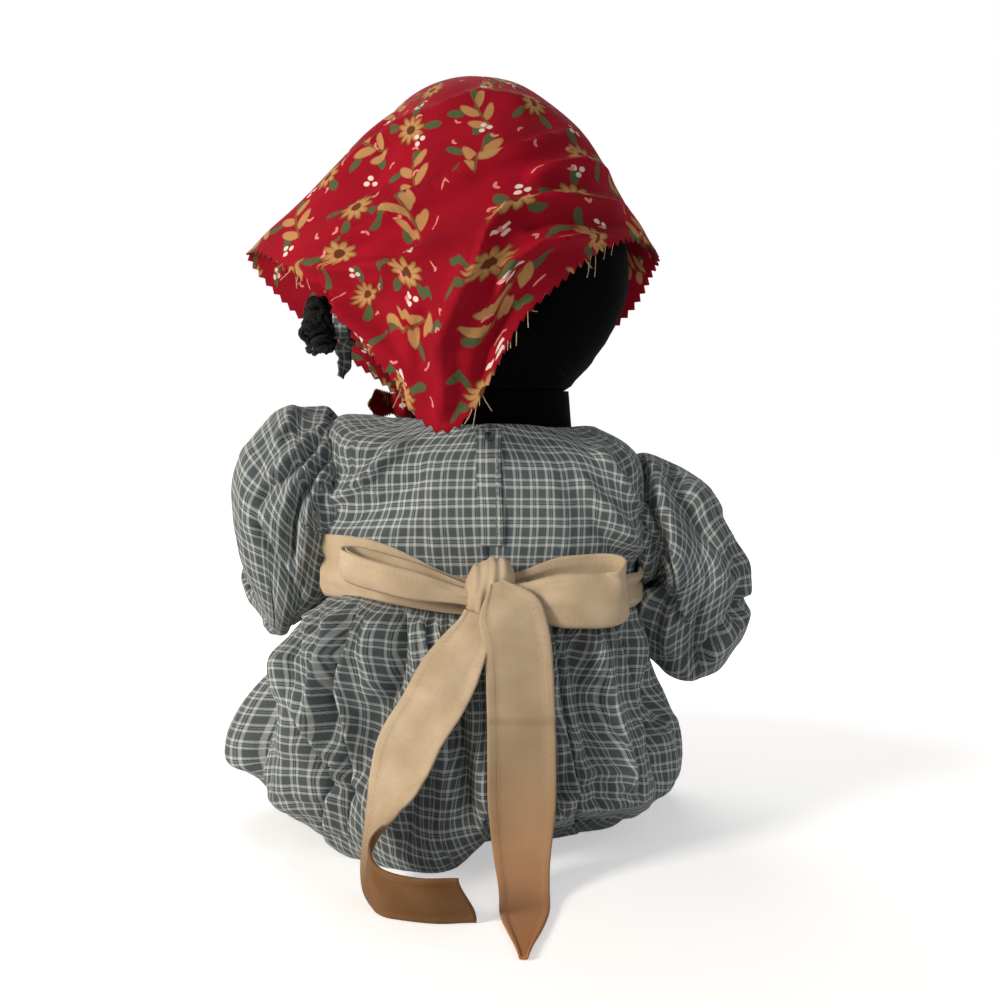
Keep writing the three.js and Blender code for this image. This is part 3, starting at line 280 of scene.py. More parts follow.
def sew(name: str, patches: Sequence[Patch], flip: bool = False) -> bpy.types.Object:
    """Makes one mesh object of patches.

    Args:
        name: Name of the piece.
        patches: The grids that it is made of.
        flip: Whether the faces look the other way.

    Returns:
        The new object, linked to the scene.
    """
    points, faces, places = [], [], []
    count = 0
    for patch in patches:
        rows, cols = patch.grid.shape[:2]
        cut = patch.laid_out()
        i, j = np.indices((rows - 1, cols if patch.wrap else cols - 1))
        keep = np.ones(i.shape, bool) if patch.keep is None else patch.keep
        i, j = i[keep], j[keep]
        k = (j + 1) % cols
        quads = np.stack([i * cols + j, i * cols + k, (i + 1) * cols + k, (i + 1) * cols + j], -1)
        corners = np.stack([cut[i, j], cut[i, j + 1], cut[i + 1, j + 1], cut[i + 1, j]], 1)
        points.append(patch.grid.reshape(-1, 3))
        faces += (quads + count).tolist()
        places.append(corners.reshape(-1, 2))
        for end, row in ((0, 0), (1, rows - 1)):
            if patch.caps[end]:
                middle = count + rows * cols + sum(patch.caps[:end])
                points.append(patch.grid[row].mean(0)[None])
                for a in range(cols):
                    pair = [count + row * cols + a, count + row * cols + (a + 1) % cols]
                    faces.append([*(pair[::-1] if end == 0 else pair), middle])
                    places.append(np.repeat(cut[row, a][None], 3, 0))
        count += rows * cols + sum(patch.caps)
    mesh = bpy.data.meshes.new(name)
    flat = np.concatenate(points) * MM
    used, where = np.unique(np.concatenate([np.asarray(f) for f in faces]), return_inverse=True)
    sizes = np.cumsum([0] + [len(f) for f in faces])
    outlines = [where[a:b].tolist() for a, b in zip(sizes[:-1], sizes[1:])]
    mesh.from_pydata(flat[used].tolist(), [], outlines)
    layer = mesh.uv_layers.new(name="cut")
    layer.data.foreach_set("uv", (np.concatenate(places) * MM).astype(np.float32).ravel())
    if flip:
        mesh.flip_normals()
    mesh.polygons.foreach_set("use_smooth", np.ones(len(mesh.polygons), bool))
    mesh.update()
    piece = bpy.data.objects.new(name, mesh)
    bpy.context.scene.collection.objects.link(piece)
    return piece


def carry(path: Points, first: Points | None = None) -> tuple[Points, Points, Points]:
    """Frame carried along a path without twist.

    Args:
        path: Points (n, 3).
        first: A direction that the first side vector leans to.

    Returns:
        Tangents, side vectors and up vectors, each (n, 3).
    """
    ahead = unit(np.gradient(path, axis=0))
    lean = np.array([0.31, 0.17, 0.93]) if first is None else np.asarray(first, float)
    side = np.zeros_like(path)
    for n, tangent in enumerate(ahead):
        lean = lean - tangent * (lean @ tangent)
        lean = lean / max(np.linalg.norm(lean), 1e-9)
        side[n] = lean
    return ahead, side, np.cross(ahead, side)


def strand(path: Points, radius: float | Points, sides: int = 6) -> Patch:
    """A round strand along a path.

    Args:
        path: Points (n, 3).
        radius: One radius, or one for each point.
        sides: Sides of its section.

    Returns:
        A closed patch.
    """
    _, side, up = carry(path)
    reach = np.broadcast_to(np.asarray(radius, float), (len(path),))[:, None, None]
    return shut(path[:, None] + around(side[:, None], up[:, None], angles(sides)) * reach)


def ribbon(
    path: Points,
    across: Points,
    half: Points,
    columns: int = 15,
    belly: float | Points = 0.0,
    hem: float = 0.5,
    double: bool = False,
) -> Points:
    """A strip of cloth along a path, with a thicker hem at both edges.

    Args:
        path: Points (n, 3) of its middle.
        across: Directions (n, 3) of its width.
        half: Half widths (n,).
        columns: Points across it.
        belly: How far its middle stands out, for each point.
        hem: How far the turned edge stands out.
        double: Whether it is folded in half along its length.

    Returns:
        Grid (n, columns, 3).
    """
    ahead = unit(np.gradient(path, axis=0))
    wide = unit(across - ahead * np.sum(across * ahead, -1, keepdims=True))
    out = np.cross(wide, ahead)
    share = np.linspace(-1, 1, columns)
    layer = 0.9 * np.tanh(9 * share) if double else 0 * share
    share = 2 * np.abs(share) - 1 if double else share
    rise = np.broadcast_to(np.asarray(belly, float), (len(path),))[:, None] * (1 - share**2)
    rise = rise + hem * ease(np.abs(share), 0.68, 0.8) + layer
    reach = wide[:, None] * (half[:, None] * share)[..., None]
    return path[:, None] + reach + out[:, None] * rise[..., None]


@dataclass(frozen=True)
class Sight:
    """Where the camera stands, and where it sees a point.

    Attributes:
        x: Across, in millimetres.
        y: Behind the doll.
        z: Height.
        pitch: Degrees that it looks down.
        focal: Focal length in picture points.
        size: Side of the picture in picture points.
    """

    x: float = 4.0
    y: float = -600.0
    z: float = 174.0
    pitch: float = 3.3
    focal: float = 1395.0
    size: float = 1000.0

    def seen(self, points: Points) -> Points:
        """Places in the picture.

        Args:
            points: Array (..., 3).

        Returns:
            Array (..., 2), across and down.
        """
        away = points - np.array([self.x, self.y, self.z])
        tilt = math.radians(self.pitch)
        ahead = away[..., 1] * math.cos(tilt) - away[..., 2] * math.sin(tilt)
        up = away[..., 1] * math.sin(tilt) + away[..., 2] * math.cos(tilt)
        middle, scale = self.size / 2, self.focal / ahead
        return np.stack([middle + scale * away[..., 0], middle - scale * up], -1)


SIGHT = Sight()


@dataclass(frozen=True)
class Crease:
    """A fold of cloth along a line drawn as the camera sees it.

    Attributes:
        line: Places in the picture that the fold follows.
        height: How far it stands out, or in where it is negative.
        width: Half its width in picture points.
        lap: How far the cloth right of the line, followed downward, lies over that left of it.
    """

    line: Line
    height: float
    width: float
    lap: float = 0.0

    def lift(self, places: Points) -> Points:
        """How far each place is lifted.

        Args:
            places: Array (..., 2) of places in the picture.

        Returns:
            Array (...) in millimetres.
        """
        line = np.asarray(self.line, float)
        best = np.full(places.shape[:-1], np.inf)
        lead, hand = np.zeros(places.shape[:-1]), np.zeros(places.shape[:-1])
        spans = len(line) - 1
        for n in range(spans):
            span = line[n + 1] - line[n]
            share = np.clip(((places - line[n]) @ span) / (span @ span), 0, 1)
            gap = np.linalg.norm(places - line[n] - share[..., None] * span, axis=-1)
            cross = (places - line[n]) @ np.array([span[1], -span[0]])
            lead = np.where(gap < best, (n + share) / spans, lead)
            hand = np.where(gap < best, np.sign(cross) * gap, hand)
            best = np.minimum(best, gap)
        # It fades out at both ends of its line.
        fade = ease(lead, -0.05, 0.18) * (1 - ease(lead, 0.78, 1.05))
        # The lapped side stands up at the line and presses a groove beside it.
        over = np.tanh(hand / 2.2) * np.exp(-best / (1.6 * self.width))
        over = self.lap * np.where(over > 0, over, 0.5 * over)
        groove = 0.7 * abs(self.lap) * hump(hand * np.sign(self.lap), -4.5, 3.5)
        return fade * (self.height * hump(best, 0.0, self.width) + over - groove)


def folded(
    grid: Points, creases: Sequence[Crease], wrap: bool, faces: Points | None = None
) -> Points:
    """Lifts a grid along creases, on the side that the camera sees.

    Args:
        grid: Points (rows, columns, 3).
        creases: The folds.
        wrap: Whether the columns close into a ring.
        faces: Outward directions, or None for the grid's own normals.

    Returns:
        The lifted grid.
    """
    out = normals(grid, wrap) if faces is None else faces
    toward = unit(np.array([SIGHT.x, SIGHT.y, SIGHT.z]) - grid)
    shown = ease((out * toward).sum(-1), -0.1, 0.4)
    places = SIGHT.seen(grid)
    lift = sum(crease.lift(places) for crease in creases) * shown
    return grid + out * lift[..., None]


# ---------------------------------------------------------------- finishes


def paint(red: int, green: int, blue: int) -> Colour:
    """A colour as a screen shows it, 0 to 255, for a shader."""
    scale = [v / 255 for v in (red, green, blue)]
    return (*[v / 12.92 if v <= 0.04045 else ((v + 0.055) / 1.055) ** 2.4 for v in scale], 1.0)


class Graph:
    """Shader nodes of one finish."""

    def __init__(self, name: str, world: bool = False) -> None:
        """Starts a material, or the world, with its one shader.

        Args:
            name: Name of the finish.
            world: Whether it is the world's.
        """
        self.material = (bpy.data.worlds if world else bpy.data.materials).new(name)
        self.material.use_nodes = True
        self.tree = self.material.node_tree
        self.shader = self.tree.nodes["Background" if world else "Principled BSDF"]

    def node(self, kind: str, *feeds: object, **settings: object) -> bpy.types.Node:
        """Adds a node.

        Args:
            kind: Type of the node.
            feeds: What goes into its first inputs, in order. None leaves one as it is.
            settings: Properties of the node.

        Returns:
            The node.
        """
        made = self.tree.nodes.new(kind)
        for key, value in settings.items():
            setattr(made, key, value)
        for socket, value in zip(made.inputs, feeds):
            if value is not None:
                self.feed(socket, value)
        return made

    def feed(self, socket: Socket, value: object) -> None:
        """Links a socket to an input, or sets a plain value on it.

        Args:
            socket: The input that gets it.
            value: An output, or a plain value.
        """
        if isinstance(value, Socket):
            self.tree.links.new(value, socket)
        else:
            socket.default_value = value

    def math(self, operation: str, *feeds: object) -> Socket:
        """One sum on numbers."""
        return self.node("ShaderNodeMath", *feeds, operation=operation).outputs[0]

    def vector(self, operation: str, *feeds: object) -> Socket:
        """One sum on vectors."""
        return self.node("ShaderNodeVectorMath", *feeds, operation=operation).outputs[0]

    def mix(self, share: object, first: object, second: object, blend: str = "MIX") -> Socket:
        """Mixes two colours.

        Args:
            share: How much of the second.
            first: First colour.
            second: Second colour.
            blend: How they are mixed.

        Returns:
            The mixed colour.
        """
        made = self.node("ShaderNodeMix", data_type="RGBA", blend_type=blend)
        for index, value in ((0, share), (6, first), (7, second)):
            self.feed(made.inputs[index], value)
        return made.outputs[2]

    def shaded(self, colour: object, shade: object) -> Socket:
        """A colour made lighter or darker by a number."""
        grey = self.node("ShaderNodeCombineColor", shade, shade, shade).outputs[0]
        return self.mix(1.0, colour, grey, "MULTIPLY")

    def direct(self) -> Socket:
        """Tells rays straight from the camera, a mirror or glass.

        Returns:
            1 for such a ray, otherwise 0.
        """
        path = self.node("ShaderNodeLightPath").outputs
        bounced = self.math("MAXIMUM", path["Is Glossy Ray"], path["Is Transmission Ray"])
        return self.math("MAXIMUM", path["Is Camera Ray"], bounced)

    def ramp(self, share: object, stops: Sequence[tuple[float, Colour]]) -> Socket:
        """Colour by a number.

        Args:
            share: The number, 0 to 1.
            stops: Places and their colours.

        Returns:
            The colour.
        """
        made = self.node("ShaderNodeValToRGB", share)
        marks = made.color_ramp.elements
        while len(marks) < len(stops):
            marks.new(1.0)
        for mark, (place, colour) in zip(marks, stops):
            mark.position = place
            mark.color = colour
        return made.outputs[0]

    def reach(self, value: object, low: float, high: float, bottom: float, top: float) -> Socket:
        """Maps a number from one reach to another, and stops at its ends."""
        return self.node("ShaderNodeMapRange", value, low, high, bottom, top).outputs[0]

    def below(self, value: object, edge: float, soft: float) -> Socket:
        """1 where a number is under an edge, with a soft step."""
        return self.reach(value, edge - soft, edge + soft, 1.0, 0.0)

    def noise(self, where: object, scale: float, detail: float = 2.0) -> Socket:
        """Smooth unevenness, 0 to 1."""
        return self.node("ShaderNodeTexNoise", where, None, scale, detail).outputs[0]

    def cells(self, where: object, scale: float, loose: float = 1.0) -> bpy.types.Node:
        """Scattered places on flat cloth.

        Args:
            where: Place on the cloth.
            scale: Places per unit.
            loose: How far they are off an even grid, 0 to 1.

        Returns:
            The node.
        """
        made = self.node("ShaderNodeTexVoronoi", voronoi_dimensions="2D")
        self.feed(made.inputs["Vector"], where)
        self.feed(made.inputs["Scale"], scale)
        self.feed(made.inputs["Randomness"], loose)
        return made

    def split(self, where: object) -> tuple[Socket, Socket]:
        """Across and along of a place."""
        made = self.node("ShaderNodeSeparateXYZ", where)
        return made.outputs[0], made.outputs[1]

    def cut(self) -> Socket:
        """Place on the flat cloth in millimetres."""
        made = self.node("ShaderNodeUVMap")
        return self.vector("MULTIPLY", made.outputs[0], (1000.0, 1000.0, 0.0))

    def solid(self) -> Socket:
        """Place in the piece in millimetres."""
        made = self.node("ShaderNodeTexCoord")
        return self.vector("MULTIPLY", made.outputs["Object"], (1000.0, 1000.0, 1000.0))

    def stretch(self, where: object, x: float, y: float) -> Socket:
        """A place drawn out along its two directions."""
        return self.vector("MULTIPLY", where, (x, y, 1.0))

    def weave(self, where: object, thread: float) -> Socket:
        """Plain weave.

        Args:
            where: Place on the cloth.
            thread: Width of a thread.

        Returns:
            Near 1 where the thread across is on top, near 0 where the one along is.
        """
        x, y = self.split(where)
        over = self.math(
            "MULTIPLY",
            self.math("SINE", self.math("MULTIPLY", x, math.pi / thread)),
            self.math("SINE", self.math("MULTIPLY", y, math.pi / thread)),
        )
        return self.math("MULTIPLY_ADD", over, 0.5, 0.5)

    def finish(
        self,
        colour: Socket,
        rough: Socket,
        height: Socket,
        depth: float,
        sheen: float = 0.0,
        sheen_colour: Colour = (1, 1, 1, 1),
        gloss: float = 0.25,
    ) -> bpy.types.Material:
        """Feeds the shader.

        Args:
            colour: Base colour.
            rough: Roughness.
            height: Height of the bump, 0 to 1.
            depth: Depth of the bump in millimetres.
            sheen: Soft shine of fibres.
            sheen_colour: Its colour.
            gloss: Specular level.

        Returns:
            The material.
        """
        self.feed(self.shader.inputs["Base Color"], colour)
        self.feed(self.shader.inputs["Roughness"], rough)
        self.shader.inputs["Sheen Weight"].default_value = sheen
        self.shader.inputs["Sheen Tint"].default_value = sheen_colour
        self.shader.inputs["Sheen Roughness"].default_value = 0.45
        self.shader.inputs["Specular IOR Level"].default_value = gloss
        bump = self.node("ShaderNodeBump")
        bump.inputs["Strength"].default_value = 1.0
        bump.inputs["Distance"].default_value = depth * MM
        self.feed(bump.inputs["Height"], height)
        self.feed(self.shader.inputs["Normal"], bump.outputs[0])
        return self.material


@dataclass(frozen=True)
class PlaidCotton:
    """Washed slate plaid.

    Attributes:
        across: Repeat of the lengthwise stripes.
        along: Repeat of the crosswise stripes.
        thread: Distance of the threads.
    """

    across: float = 6.6
    along: float = 7.7
    thread: float = 0.45

    def build(self) -> bpy.types.Material:
        """Makes the material.

        Returns:
            The material.
        """
        g = Graph("plaid_cotton")
        where = g.cut()
        drift = g.node("ShaderNodeTexNoise", where, None, 0.05, 2.0)
        bent = g.vector("ADD", where, g.vector("MULTIPLY", drift.outputs[1], (0.9, 0.9, 0.0)))
        x, y = g.split(bent)
        slate, white = paint(76, 84, 87), paint(186, 191, 188)
        dark, grey = paint(48, 55, 58), paint(118, 124, 124)
        yarns = [
            (0.0, slate), (0.44, slate), (0.48, white), (0.60, white), (0.64, dark),
            (0.68, dark), (0.70, grey), (0.77, grey), (0.79, dark), (0.83, dark),
            (0.87, white), (0.97, white), (1.0, slate),
        ]
        warp = g.ramp(g.math("FRACT", g.math("DIVIDE", x, self.across)), yarns)
        weft = g.ramp(g.math("FRACT", g.math("DIVIDE", y, self.along)), yarns)
        over = g.weave(where, self.thread)
        cloth = g.mix(g.reach(over, 0.0, 1.0, 0.24, 0.76), warp, weft)
        fade = g.noise(where, 0.035, 3.0)
        slub = g.noise(g.stretch(where, 0.25, 2.2), 1.0)
        slub_along = g.noise(g.stretch(where, 2.2, 0.25), 1.0)
        shade = g.reach(fade, 0.3, 0.7, 0.86, 1.06)
        shade = g.math("ADD", shade, g.reach(slub, 0.35, 0.65, -0.06, 0.06))
        shade = g.math("ADD", shade, g.reach(slub_along, 0.35, 0.65, -0.06, 0.06))
        cloth = g.shaded(cloth, shade)
        height = g.math("ADD", g.math("MULTIPLY", over, 0.7), g.math("MULTIPLY", slub, 0.3))
        rough = g.reach(fade, 0.3, 0.7, 0.86, 0.96)
        return g.finish(cloth, rough, height, 0.10, 0.12)


@dataclass(frozen=True)
class PrintCotton:
    """Red cotton printed with scattered blooms, leaves, berries and specks.

    Attributes:
        spacing: Distance of the blooms.
        bloom: Reach of a bloom's petals.
        thread: Distance of the threads.
        ground: Two shades of the cotton.
        green: Colour of the leaves.
        straw: Colour of a sprig's blades.
        stalk: Colour of a sprig's stem.
        petals: Colours of a bloom from its middle to its edge.
        vein: Colour of the lines on its petals.
        heart: Colour of its middle.
        berry: Colour of the berries.
        speck: Colour of the small pairs of specks.
        rubbed: Colour where the print is worn.
    """

    spacing: float = 25.5
    bloom: float = 6.2
    thread: float = 0.4
    ground: tuple[Colour, Colour] = (paint(132, 6, 25), paint(158, 9, 33))
    green: Colour = paint(64, 92, 58)
    straw: Colour = paint(176, 130, 82)
    stalk: Colour = paint(120, 78, 44)
    petals: tuple[tuple[float, Colour], ...] = (
        (0.0, paint(140, 88, 44)), (0.45, paint(188, 142, 90)),
        (0.82, paint(164, 116, 68)), (1.0, paint(88, 50, 28)),
    )
    vein: Colour = paint(104, 58, 30)
    heart: Colour = paint(98, 52, 30)
    berry: Colour = paint(226, 206, 196)
    speck: Colour = paint(214, 130, 118)
    rubbed: Colour = paint(196, 90, 86)

    def local(
        self, g: Graph, where: object, spacing: float, loose: float
    ) -> tuple[Socket, Socket, Socket]:
        """Turned place about the nearest scattered point.

        Args:
            g: The nodes.
            where: Place on the cloth.
            spacing: Distance of the points.
            loose: How irregular they are.

        Returns:
            Across and along from the point, and a number of its own.
        """
        scaled = g.vector("MULTIPLY", where, (1 / spacing, 1 / spacing, 0.0))
        cell = g.cells(scaled, 1.0, loose)
        off = g.vector("SUBTRACT", scaled, cell.outputs["Position"])
        lot = g.node("ShaderNodeSeparateColor", cell.outputs["Color"])
        turned = g.node("ShaderNodeVectorRotate", off, rotation_type="Z_AXIS")
        g.feed(turned.inputs["Angle"], g.math("MULTIPLY", lot.outputs[0], TAU))
        x, y = g.split(g.vector("MULTIPLY", turned.outputs[0], (spacing, spacing, 0.0)))
        return x, y, lot.outputs[1]

    def spot(
        self, g: Graph, x: object, y: object, at: Pair, size: Pair, turn: float = 0.0
    ) -> Socket:
        """Mask of a turned oval.

        Args:
            g: The nodes.
            x: Across.
            y: Along.
            at: Its middle.
            size: Its half lengths.
            turn: Its turn in degrees.

        Returns:
            1 inside and 0 outside.
        """
        c, s = math.cos(math.radians(turn)), math.sin(math.radians(turn))
        dx, dy = g.math("SUBTRACT", x, at[0]), g.math("SUBTRACT", y, at[1])
        a = g.math("MULTIPLY_ADD", dx, c / size[0], g.math("MULTIPLY", dy, s / size[0]))
        b = g.math("MULTIPLY_ADD", dy, c / size[1], g.math("MULTIPLY", dx, -s / size[1]))
        far = g.math("ADD", g.math("MULTIPLY", a, a), g.math("MULTIPLY", b, b))
        return g.below(far, 1.0, 0.22)

    def build(self) -> bpy.types.Material:
        """Makes the material.

        Returns:
            The material.
        """
        g = Graph("red_print_cotton")
        where = g.cut()
        over = g.weave(where, self.thread)
        fade = g.noise(where, 0.04, 3.0)
        cloth = g.mix(g.reach(fade, 0.3, 0.7, 0.0, 1.0), *self.ground)
        cloth = self.blooms(g, where, cloth)
        bx, by, _ = self.local(g, g.vector("ADD", where, (11.0, 17.0, 0.0)), 27.0, 0.5)
        for at in ((-1.5, 0.0), (1.5, 0.2), (0.1, 2.5)):
            cloth = g.mix(self.spot(g, bx, by, at, (1.05, 1.05)), cloth, self.berry)
        sx, sy, lot = self.local(g, g.vector("ADD", where, (5.0, 3.0, 0.0)), 13.0, 0.7)
        pair = [self.spot(g, sx, sy, (k * 0.6, 0.0), (1.1, 0.5), k * -35.0) for k in (-1, 1)]
        shown = g.math("GREATER_THAN", lot, 0.25)
        cloth = g.mix(g.math("MULTIPLY", g.math("MAXIMUM", *pair), shown), cloth, self.speck)
        worn = g.noise(where, 0.9, 4.0)
        cloth = g.mix(g.reach(worn, 0.66, 0.85, 0.0, 0.12), cloth, self.rubbed)
        cloth = g.shaded(cloth, g.reach(over, 0.0, 1.0, 0.86, 1.08))
        rough = g.reach(worn, 0.3, 0.7, 0.8, 0.92)
        height = g.math("MULTIPLY_ADD", worn, 0.3, over)
        return g.finish(cloth, rough, height, 0.07, 0.03, paint(255, 150, 150), 0.12)

    def blooms(self, g: Graph, where: Socket, cloth: Socket) -> Socket:
        """Prints a bloom or a sprig, with leaves, about each scattered point.

        Args:
            g: The nodes.
            where: Place on the cloth.
            cloth: Colour of the cloth.

        Returns:
            The printed colour.
        """
        x, y, lot = self.local(g, where, self.spacing, 0.42)
        reach = g.math("SQRT", g.math("ADD", g.math("MULTIPLY", x, x), g.math("MULTIPLY", y, y)))
        petal = g.math("COSINE", g.math("MULTIPLY", g.math("ARCTAN2", y, x), 5.0))
        petal = g.math("ABSOLUTE", petal)
        edge = g.math("MULTIPLY_ADD", petal, self.bloom * 0.42, self.bloom * 0.62)
        out = g.math("DIVIDE", reach, edge)
        flower = g.math("GREATER_THAN", lot, 0.36)
        sprig = g.math("SUBTRACT", 1.0, flower)
        leaves = [
            ((9.2, 1.5), (3.9, 1.7), 12.0), ((-8.2, -4.8), (3.9, 1.7), 32.0),
            ((3.0, -9.0), (3.6, 1.6), 100.0),
        ]
        for leaf in leaves:
            cloth = g.mix(g.math("MULTIPLY", self.spot(g, x, y, *leaf), 0.9), cloth, self.green)
        for n, (along, wide) in enumerate([(-6.0, 4.2), (-2.0, 4.6), (2.0, 4.4), (6.0, 3.8)]):
            side = 1 if n % 2 else -1
            blade = self.spot(g, x, y, (along, side * wide * 0.72), (4.4, 1.9), side * 42.0)
            cloth = g.mix(g.math("MULTIPLY", blade, sprig), cloth, self.straw)
        stem = self.spot(g, x, y, (0.0, 0.0), (10.5, 0.5))
        cloth = g.mix(g.math("MULTIPLY", stem, sprig), cloth, self.stalk)
        bloom = g.math("MULTIPLY", g.below(out, 1.0, 0.05), flower)
        cloth = g.mix(bloom, cloth, g.ramp(out, self.petals))
        vein = g.math("MULTIPLY", g.below(petal, 0.16, 0.1), g.below(out, 0.95, 0.05))
        vein = g.math("MULTIPLY", g.math("MULTIPLY", vein, flower), 0.55)
        cloth = g.mix(vein, cloth, self.vein)
        return g.mix(g.math("MULTIPLY", g.below(reach, 1.9, 0.2), flower), cloth, self.heart)


@dataclass(frozen=True)
class Muslin:
    """Unbleached muslin, stitched along both edges of a strip.

    Attributes:
        name: Name of the material.
        width: Width of the strip, or 0 where it has no stitched edges.
        stain_and_shade_length: Length over which it turns to tan, partly a stain and partly painted shade,
            or 0.
        painted_shade: How much its upper length is greyed as painted shade, 0 to 1.
        tan: Colour of its far end, partly a stain and partly painted shade with painted warm light from the
            floor.
        turns: Shares of that length between which the tan sets in.
        sheen: Soft shine of its fibres.
        thread: Distance of the threads.
    """

    name: str = "muslin"
    width: float = 0.0
    stain_and_shade_length: float = 0.0
    painted_shade: float = 0.0
    tan: Colour = paint(176, 112, 58)
    turns: Pair = (0.38, 0.9)
    sheen: float = 0.1
    thread: float = 0.6

    def build(self) -> bpy.types.Material:
        """Makes the material.

        Returns:
            The material.
        """
        g = Graph(self.name)
        where = g.cut()
        x, y = g.split(where)
        over = g.weave(where, self.thread)
        blot = g.noise(where, 0.06, 4.0)
        cloth = g.mix(g.reach(blot, 0.3, 0.7, 0.0, 1.0), paint(174, 152, 124), paint(202, 181, 153))
        across = g.noise(g.stretch(where, 0.12, 2.4), 1.0)
        along = g.noise(g.stretch(where, 2.4, 0.12), 1.0)
        slub = g.math("ADD", across, along)
        cloth = g.mix(g.reach(slub, 0.95, 1.35, 0.0, 0.5), cloth, paint(178, 154, 118))
        fleck = g.noise(g.stretch(where, 0.9, 0.9), 1.0, 1.0)
        cloth = g.mix(g.reach(fleck, 0.74, 0.8, 0.0, 0.6), cloth, paint(120, 90, 54))
        height = g.math("MULTIPLY_ADD", slub, 0.35, g.math("MULTIPLY", over, 0.6))
        if self.width:
            rim = g.math("MINIMUM", x, g.math("SUBTRACT", self.width, x))
            row = g.below(g.math("ABSOLUTE", g.math("SUBTRACT", rim, 3.6)), 0.32, 0.12)
            dash = g.math("LESS_THAN", g.math("FRACT", g.math("DIVIDE", y, 2.3)), 0.68)
            stitch = g.math("MULTIPLY", row, dash)
            # The stitched row is a groove, darkened there as painted shade. The lighter dashes are the
            # thread.
            cloth = g.mix(g.math("MULTIPLY", row, 0.16), cloth, paint(150, 122, 82))
            cloth = g.mix(g.math("MULTIPLY", stitch, 0.4), cloth, paint(206, 182, 144))
            height = g.math("SUBTRACT", height, g.math("MULTIPLY", row, 1.2))
            height = g.math("ADD", height, stitch)
        if self.stain_and_shade_length:
            # Painted shade greys the upper length. Towards the far end it turns tan, partly a stain and
            # partly painted shade.
            grey = g.reach(y, 8.0, self.stain_and_shade_length * 0.36, 0.0, self.painted_shade)
            cloth = g.mix(grey, cloth, paint(146, 122, 94))
            start, full = (self.stain_and_shade_length * share for share in self.turns)
            stain_and_shade_share = g.reach(y, start, full, 0.0, 1.0)
            stain_and_shade_share = g.math("MULTIPLY", stain_and_shade_share, g.reach(blot, 0.2, 0.8, 0.8, 1.0))
            cloth = g.mix(stain_and_shade_share, cloth, self.tan)
        cloth = g.shaded(cloth, g.reach(over, 0.0, 1.0, 0.95, 1.03))
        return g.finish(cloth, g.reach(blot, 0.3, 0.7, 0.88, 0.97), height, 0.08, self.sheen)


@dataclass(frozen=True)
class BlackVelvet:
    """Black brushed cotton with a short nap.

    Attributes:
        name: Name of the material.
        dark: Colour in the hollows of the nap, painted shade there.
        light: Colour on the raised nap.
        nap: Size of its tufts.
    """

    name: str = "black_velvet"
    dark: Colour = (0.0008, 0.0008, 0.0008, 1.0)
    light: Colour = (0.0026, 0.0025, 0.0025, 1.0)
    nap: float = 1.6

    def build(self) -> bpy.types.Material:
        """Makes the material.

        Returns:
            The material.
        """
        g = Graph(self.name)
        where = g.solid()
        tuft = g.noise(where, 1 / self.nap, 3.0)
        brushed = g.noise(where, 0.045, 3.0)
        # The colour follows the nap's bump, darker in its hollows as painted shade. It also varies at random
        # over broad patches.
        share = g.math("MULTIPLY_ADD", tuft, 0.6, g.math("MULTIPLY", brushed, 0.4))
        colour = g.ramp(share, [(0.3, self.dark), (0.7, self.light)])
        lint = g.noise(where, 0.55, 1.0)
        colour = g.mix(g.reach(lint, 0.78, 0.82, 0.0, 0.25), colour, paint(96, 92, 90))
        rough = g.reach(brushed, 0.3, 0.7, 0.88, 0.98)
        return g.finish(colour, rough, tuft, 0.25, 0.03, paint(120, 116, 118), 0.02)


@dataclass(frozen=True)
class SpunThread:
    """Twisted yarn or sewing thread.

    Attributes:
        name: Name of the material.
        dark: Colour between the plies, painted shade there.
        light: Colour on the plies.
        twist: Length of one turn.
        sheen: Soft shine of its fibres.
    """

    name: str
    dark: Colour
    light: Colour
    twist: float = 1.6
    sheen: float = 0.1

    def build(self) -> bpy.types.Material:
        """Makes the material.

        Returns:
            The material.
        """
        g = Graph(self.name)
        x, y = g.split(g.cut())
        lay = g.math("ADD", g.math("MULTIPLY", x, 1.4), y)
        ply = g.math("SINE", g.math("MULTIPLY", lay, TAU / self.twist))
        ply = g.math("MULTIPLY_ADD", ply, 0.5, 0.5)
        fuzz = g.noise(g.cut(), 1.2, 3.0)
        # Darker between the plies as painted shade, and uneven at random along its fibres.
        share = g.math("MULTIPLY_ADD", fuzz, 0.5, g.math("MULTIPLY", ply, 0.5))
        colour = g.ramp(share, [(0.25, self.dark), (0.8, self.light)])
        return g.finish(colour, g.reach(fuzz, 0.3, 0.7, 0.78, 0.95), ply, 0.18, self.sheen)


@dataclass(frozen=True)
class TurnedWood:
    """Brown wood of the eye buttons, satin."""

    dark: Colour = (0.045, 0.022, 0.010, 1.0)
    light: Colour = (0.13, 0.066, 0.03, 1.0)

    def build(self) -> bpy.types.Material:
        """Makes the material.

        Returns:
            The material.
        """
        g = Graph("button_wood")
        where = g.solid()
        grain = g.noise(g.vector("MULTIPLY", where, (0.5, 0.5, 2.6)), 1.0, 4.0)
        colour = g.ramp(grain, [(0.3, self.dark), (0.7, self.light)])
        return g.finish(colour, g.reach(grain, 0.3, 0.7, 0.34, 0.5), grain, 0.05, gloss=0.5)


@dataclass(frozen=True)
class DarkSteel:
    """Dulled metal of the press stud."""

    colour: Colour = (0.022, 0.022, 0.024, 1.0)
    worn: Colour = (0.09, 0.088, 0.085, 1.0)

    def build(self) -> bpy.types.Material:
        """Makes the material.

        Returns:
            The material.
        """
        g = Graph("snap_steel")
        scuff = g.noise(g.solid(), 1.4, 4.0)
        colour = g.ramp(scuff, [(0.4, self.colour), (0.75, self.worn)])
        g.shader.inputs["Metallic"].default_value = 0.9
        return g.finish(colour, g.reach(scuff, 0.3, 0.7, 0.3, 0.5), scuff, 0.04, gloss=0.5)


